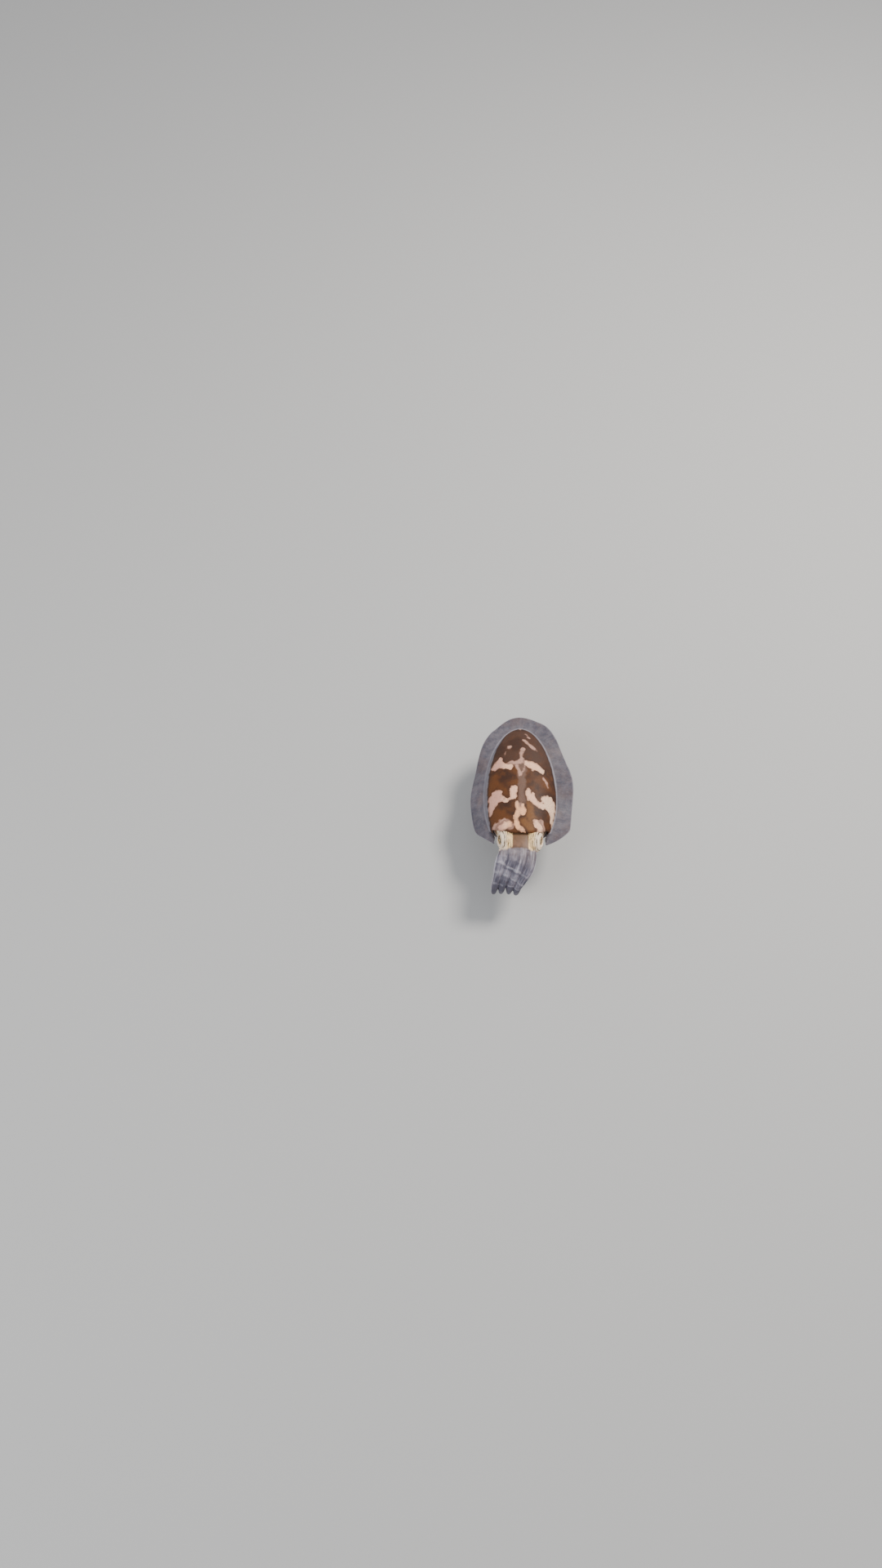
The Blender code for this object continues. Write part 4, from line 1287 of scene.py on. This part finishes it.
    # A pale line with a dark one beside it runs down the apron's edges
    edge = skin.attribute("apron_edge")
    arm = (edge.step(0.55, 0.80) * 0.45 * (1 - edge.step(0.84, 0.92))).mix(arm, ARM_DARK)
    arm = (edge.step(0.88, 0.97) * 0.75).mix(arm, ARM_WHITE)
    arm = ((1 - outer.step(-0.75, -0.2)) * 0.6).mix(arm, BELLY_PALE)
    arm = (spots * 0.20).mix(arm, ARM_DARK)
    on_arm = (forward + wander * 1.5 + CROWN_Y).step(-0.0034, 0.0010)
    colour = on_arm.mix(colour, arm)
    skin.feed("Base Color", colour)
    skin.feed("Roughness", 0.46 + fine * 0.22)
    pits = mottle * 0.6 + fine * 0.5 + skin.noise(0.0009, 2.0) * 0.25 + streaks * on_arm * 0.8
    skin.bumps(pits, 0.0007, 0.55)
    return skin.material


head.data.materials.clear()
head.data.materials.append(mantle.data.materials[0])
head.data.materials.append(head_skin())
second_slot = np.ones(len(head.data.polygons), dtype=np.int32)
head.data.polygons.foreach_set("material_index", second_slot)
head.data.shade_smooth()
mantle.data.materials.append(head.data.materials[1])
combine(mantle, head, "UNION")
mantle.name = "cuttlefish_skin"
mantle.data.name = "cuttlefish_skin"
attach(mantle, "root")
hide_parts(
    "mantle", "fin_left", "fin_right", "head", "funnel",
    *(f"{arm.name}_{part}" for arm in ARMS for part in ("root", "tip")),
)

# Suckers
# Small round cups stand in four rows on the inner face of every arm, close together
# out to the tip. Each is a soft stalk with a thick rim and a hollow, sunk in the skin.

SUCKER_ROWS = (-0.66, -0.22, 0.22, 0.66)
SUCKERS_FROM = 0.07
SUCKERS_TO = 0.975
SUCKER_WIDTH_SHARE = 0.088
SUCKER_RISE_SHARE = 0.100
SUCKER_PITCH_SHARE = 0.215
SUCKER_SPLAY = 0.55
SUCKER_DEPTH = 0.97
OUTER_SUCKER_SHRINK = 0.12
SUCKER_SIDES = 8
STALK_RADIUS = 0.78
STALK_HEIGHT = 0.7
# Rise and scale of each ring of the cup: out to the rim, over it and into the hollow
CUP_STEPS = ((0.30, 1.34), (0.32, 0.97), (0.04, 0.74), (-0.34, 0.72))
HOLLOW_RADIUS = 0.80


def sucker_form():
    """One cup about a unit wide, drawn up from a short stalk."""
    select_nothing()
    bpy.ops.mesh.primitive_cylinder_add(
        vertices=SUCKER_SIDES, radius=STALK_RADIUS, depth=STALK_HEIGHT, location=(0, 0, 0)
    )
    cup = bpy.context.object
    bpy.ops.object.mode_set(mode="EDIT")
    bpy.ops.mesh.select_all(action="DESELECT")
    builder = bmesh.from_edit_mesh(cup.data)
    for face in builder.faces:
        face.select_set(face.normal.z > 0.9)
    bmesh.update_edit_mesh(cup.data)
    for rise, scale in CUP_STEPS:
        bpy.ops.mesh.extrude_region_move(TRANSFORM_OT_translate={"value": (0, 0, rise)})
        bpy.ops.transform.resize(value=(scale, scale, 1))
    turn_faces_out(cup)
    return cup


def place_on_inner_face(arm, s, row):
    """The cup's foot and its three axes: two across it and one out of the arm."""
    heading, outward, across = arm.frame(s)
    width = arm.width_at(s)
    up = (1 - abs(row) ** (2 / ARM_ROUNDNESS)) ** (ARM_ROUNDNESS / 2)
    foot = arm.middle(s) + across * (width / 2 * ARM_PLUMP * row)
    foot = foot - outward * (width * ARM_INNER_SHARE * up * SUCKER_DEPTH)
    out = (across * row * SUCKER_SPLAY - outward).normalized()
    side = heading.cross(out).normalized()
    # The outer rows are a little smaller
    size = width * SUCKER_WIDTH_SHARE * (1 - OUTER_SUCKER_SHRINK * (abs(row) > 0.5))
    rise = out * width * SUCKER_RISE_SHARE
    return foot, np.array([side * size, out.cross(side) * size, rise])


def make_suckers():
    """Copies the one cup to every place and joins all copies in one mesh."""
    cup = sucker_form()
    shape = vertex_places(cup)
    faces = [tuple(face.vertices) for face in cup.data.polygons]
    middle = np.hypot(shape[:, 0], shape[:, 1]) < HOLLOW_RADIUS
    hollow = np.where(middle, shape[:, 2] > 0.5, 0.0)
    corners, polygons, inside = [], [], []
    for arm in ARMS:
        for count, row in enumerate(SUCKER_ROWS):
            # Every second row starts half a step further out
            s = SUCKERS_FROM + 0.5 * (count % 2) * SUCKER_PITCH_SHARE * arm.width / arm.length
            while s < SUCKERS_TO:
                foot, axes = place_on_inner_face(arm, s, row)
                first = len(corners) * len(shape)
                corners.append(shape @ axes + np.array(foot))
                polygons += [tuple(first + corner for corner in face) for face in faces]
                inside.append(hollow)
                s += SUCKER_PITCH_SHARE * arm.width_at(s) / arm.length
    mesh = bpy.data.meshes.new("suckers")
    mesh.from_pydata(np.concatenate(corners).tolist(), [], polygons)
    bpy.data.objects.remove(cup)
    suckers = bpy.data.objects.new("suckers", mesh)
    bpy.context.scene.collection.objects.link(suckers)
    store(suckers, "hollow", np.concatenate(inside))
    mesh.shade_smooth()
    return suckers


SUCKER_CREAM = linear(183, 172, 165)
SUCKER_MAUVE = linear(111, 92, 95)


def sucker_skin():
    skin = Finish(
        "sucker_skin", Coat_Weight=0.15, Coat_Roughness=0.30, Coat_IOR=1.4, IOR=1.38,
        Subsurface_Weight=0.08, Subsurface_Scale=0.002,
    )
    cloudy = skin.noise(0.0040, 2.0)
    fine = skin.noise(0.0008, 2.0)
    colour = (cloudy.step(0.35, 0.70) * 0.35).mix(SUCKER_CREAM, SUCKER_MAUVE)
    # Painted shade darkens each cup's hollow
    colour = (skin.attribute("hollow") * (0.55 + fine * 0.3)).mix(colour, SUCKER_MAUVE)
    skin.feed("Base Color", colour)
    skin.feed("Roughness", 0.40 + fine * 0.2)
    skin.bumps(fine, 0.0003, 0.4)
    return skin.material


suckers = make_suckers()
suckers.data.materials.append(sucker_skin())
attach(suckers, "root")

# Eyes
# Each eye is a glossy ball behind the lids, with a pale gold iris and the dark wavy
# pupil that all cuttlefish have.

PUPIL_HALF_WIDTH = 0.0062
PUPIL_WAVE = 0.00085
PUPIL_HALF_HEIGHT = 0.0013
IRIS_GOLD = linear(198, 174, 124)
IRIS_BRONZE = linear(156, 124, 74)
IRIS_FLECK = linear(106, 81, 49)
IRIS_EDGE = linear(183, 178, 174)
EYE_EDGE_PAINTED_SHADE = linear(85, 68, 58)
PUPIL_HALO = linear(126, 95, 52)
PUPIL_BLACK = linear(13, 11, 13)


def eye_surface():
    skin = Finish(
        "eye_surface", Coat_Weight=1.0, Coat_Roughness=0.04, Coat_IOR=1.38, IOR=1.40,
        Subsurface_Weight=0.04, Subsurface_Scale=0.002,
    )
    _, along, above = eye_axes(1)
    centre = eye_centre(1)
    # Both eyes share one pattern, mirrored left and right
    x = skin.along(0).maths("ABSOLUTE") - centre.x
    y = skin.along(1) - centre.y
    z = skin.along(2) - centre.z
    a, b = [x * axis.x + y * axis.y + z * axis.z for axis in (along, above)]
    grain = skin.noise(0.0011, 3.0, 0.6)
    flecks = skin.noise(0.00035, 2.0)
    from_middle = (a * a * 0.55 + b * b).maths("SQRT")
    colour = (grain.step(0.35, 0.65) * 0.6).mix(IRIS_GOLD, IRIS_BRONZE)
    colour = (flecks.step(0.55, 0.72) * 0.4).mix(colour, IRIS_FLECK)
    colour = (from_middle.step(0.0040, 0.0064) * 0.75).mix(colour, IRIS_EDGE)
    # Painted shade darkens the ball towards its edge, where it runs under the lids
    colour = (from_middle.step(0.0062, 0.0074) * 0.70).mix(colour, EYE_EDGE_PAINTED_SHADE)
    # The pupil hangs in two full lobes from a thin bridge and tapers to its ends
    wave = (a * (math.tau / PUPIL_HALF_WIDTH)).maths("COSINE")
    middle = b - wave * PUPIL_WAVE + (grain - 0.5) * 0.0004
    share = a / PUPIL_HALF_WIDTH
    taper = (1 - share * share).maths("MAXIMUM", 0.0).maths("SQRT")
    half_height = (0.72 - wave * 0.28) * taper * PUPIL_HALF_HEIGHT
    beyond = middle.maths("ABSOLUTE") - half_height
    halo = (1 - beyond.step(0.0, 0.0010)) * taper.step(0.0, 0.3)
    colour = (halo * 0.60).mix(colour, PUPIL_HALO)
    colour = (1 - beyond.step(-0.00012, 0.00010)).mix(colour, PUPIL_BLACK)
    skin.feed("Base Color", colour)
    skin.feed("Roughness", 0.22 + grain * 0.2)
    skin.bumps(grain, 0.0002, 0.25)
    return skin.material


eye_finish = eye_surface()
for node, side in (("eye_left", 1), ("eye_right", -1)):
    eye = ball(node + "_ball", eye_centre(side), EYE_RADIUS)
    eye.data.materials.append(eye_finish)
    eye.data.shade_smooth()
    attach(eye, "root")
    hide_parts(node)

# Mouth
# In the middle of the arms a ring of puckered lips closes round the dark tip of the
# beak. It is soft flesh, set against the front of the head.

LIP_RADIUS = 0.0054
LIP_LENGTH = 0.0050
BEAK_RADIUS = 0.0026
BEAK_LENGTH = 0.0050
LIP_PROFILE = (
    # radius, reach in front of the head, depth of the puckers
    (0.94, 0.0003, 0.02),
    (1.00, 0.0010, 0.03),
    (1.04, 0.0022, 0.05),
    (0.99, 0.0034, 0.07),
    (0.88, 0.0043, 0.09),
    (0.74, 0.0049, 0.10),
    (0.62, 0.0050, 0.10),
    (0.54, 0.0046, 0.08),
    (0.49, 0.0038, 0.03),
    (0.44, 0.0044, 0.0),
    (0.34, 0.0055, 0.0),
    (0.20, 0.0064, 0.0),
)
PUCKERS = 18
LIP_SIDES = 72
LIP_MAUVE = linear(151, 119, 111)
LIP_PALE = linear(183, 158, 149)
BEAK_BLACK = linear(38, 25, 20)


def mouth_form():
    rings = []
    for radius, reach, pucker in LIP_PROFILE:
        ring = []
        for turn in turns(LIP_SIDES):
            spread = LIP_RADIUS * radius * (1 + pucker * math.cos(PUCKERS * turn))
            aside, up = spread * math.cos(turn), spread * math.sin(turn)
            ring.append(Vector((HEAD_BEND + aside, CROWN_Y - reach, MARGIN_HEIGHT + up)))
        rings.append(ring)
    tip = (HEAD_BEND, CROWN_Y - LIP_LENGTH - BEAK_LENGTH * 0.4, MARGIN_HEIGHT)
    return form_from_ball("mouth_parts", rings, end=tip)


def mouth_flesh():
    skin = Finish(
        "mouth_flesh", Coat_Weight=0.35, Coat_Roughness=0.20, Coat_IOR=1.4, IOR=1.38,
        Subsurface_Weight=0.08, Subsurface_Scale=0.002,
    )
    cloudy = skin.noise(0.0020, 3.0)
    aside = skin.along(0) - HEAD_BEND
    above = skin.along(2) - MARGIN_HEIGHT
    radius = (aside * aside + above * above).maths("SQRT")
    colour = cloudy.step(0.3, 0.7).mix(LIP_MAUVE, LIP_PALE)
    beak = 1 - radius.step(BEAK_RADIUS * 0.90, BEAK_RADIUS * 1.04)
    colour = beak.mix(colour, BEAK_BLACK)
    skin.feed("Base Color", colour)
    skin.feed("Roughness", 0.42 - beak * 0.14 + cloudy * 0.1)
    skin.bumps(cloudy + skin.noise(0.0006, 2.0) * 0.4, 0.0004, 0.5)
    return skin.material


mouth = mouth_form()
mouth.data.materials.append(mouth_flesh())
mouth.data.shade_smooth()
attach(mouth, "root")
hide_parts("mouth")

# Display stand
# A flat oval steel plate, painted in satin pale grey, carries two short rods of brushed
# steel that hold the body level from below. Both shapes are the frame's own.

# Heights between which the wear along the plate's upper edge sets in and ends
PLATE_WEAR_SETS_IN = (0.0062, 0.0074)
PLATE_WEAR_ENDS = (0.00765, 0.0079)
ROD_LINES_PER_METRE = 9000.0
PLATE_PALE = linear(183, 181, 177)
PLATE_DULL = linear(174, 172, 169)
PLATE_GRAIN = linear(156, 155, 151)
PLATE_WORN = linear(149, 147, 144)
STEEL_DARK = linear(149, 149, 147)
STEEL_LIGHT = linear(174, 174, 172)
STEEL_DULL = linear(124, 124, 122)


def plate_paint():
    paint = Finish("plate_paint", Coat_Weight=0.2, Coat_Roughness=0.35)
    cloudy = paint.noise(0.020, 3.0)
    grain = paint.noise(0.0007, 2.0)
    colour = (cloudy.step(0.3, 0.7) * 0.5).mix(PLATE_PALE, PLATE_DULL)
    colour = (grain.step(0.62, 0.75) * 0.25).mix(colour, PLATE_GRAIN)
    # The paint is a little worn along the upper edge
    height = paint.along(2)
    edge = height.step(*PLATE_WEAR_SETS_IN) * (1 - height.step(*PLATE_WEAR_ENDS))
    colour = (edge * cloudy.step(0.45, 0.65) * 0.35).mix(colour, PLATE_WORN)
    paint.feed("Base Color", colour)
    paint.feed("Roughness", 0.40 + cloudy * 0.12 + grain * 0.08)
    paint.bumps(grain, 0.00015, 0.4)
    return paint.material


def rod_steel():
    steel = Finish("rod_steel", Metallic=1.0)
    turned = steel.along(2) * ROD_LINES_PER_METRE
    lines = steel.anything.make(
        "ShaderNodeTexNoise",
        {"noise_dimensions": "1D"},
        {"W": turned, "Scale": 1.0, "Detail": 2.0},
    )
    cloudy = steel.noise(0.006, 2.0)
    colour = lines.step(0.3, 0.7).mix(STEEL_DARK, STEEL_LIGHT)
    colour = (cloudy.step(0.4, 0.7) * 0.2).mix(colour, STEEL_DULL)
    steel.feed("Base Color", colour)
    steel.feed("Roughness", 0.26 + lines * 0.14)
    steel.bumps(lines, 0.00004, 0.4)
    return steel.material


bpy.data.objects["stand_base"].material_slots[0].material = plate_paint()
rod_finish = rod_steel()
for rod in ("stand_rod_front", "stand_rod_back"):
    bpy.data.objects[rod].material_slots[0].material = rod_finish
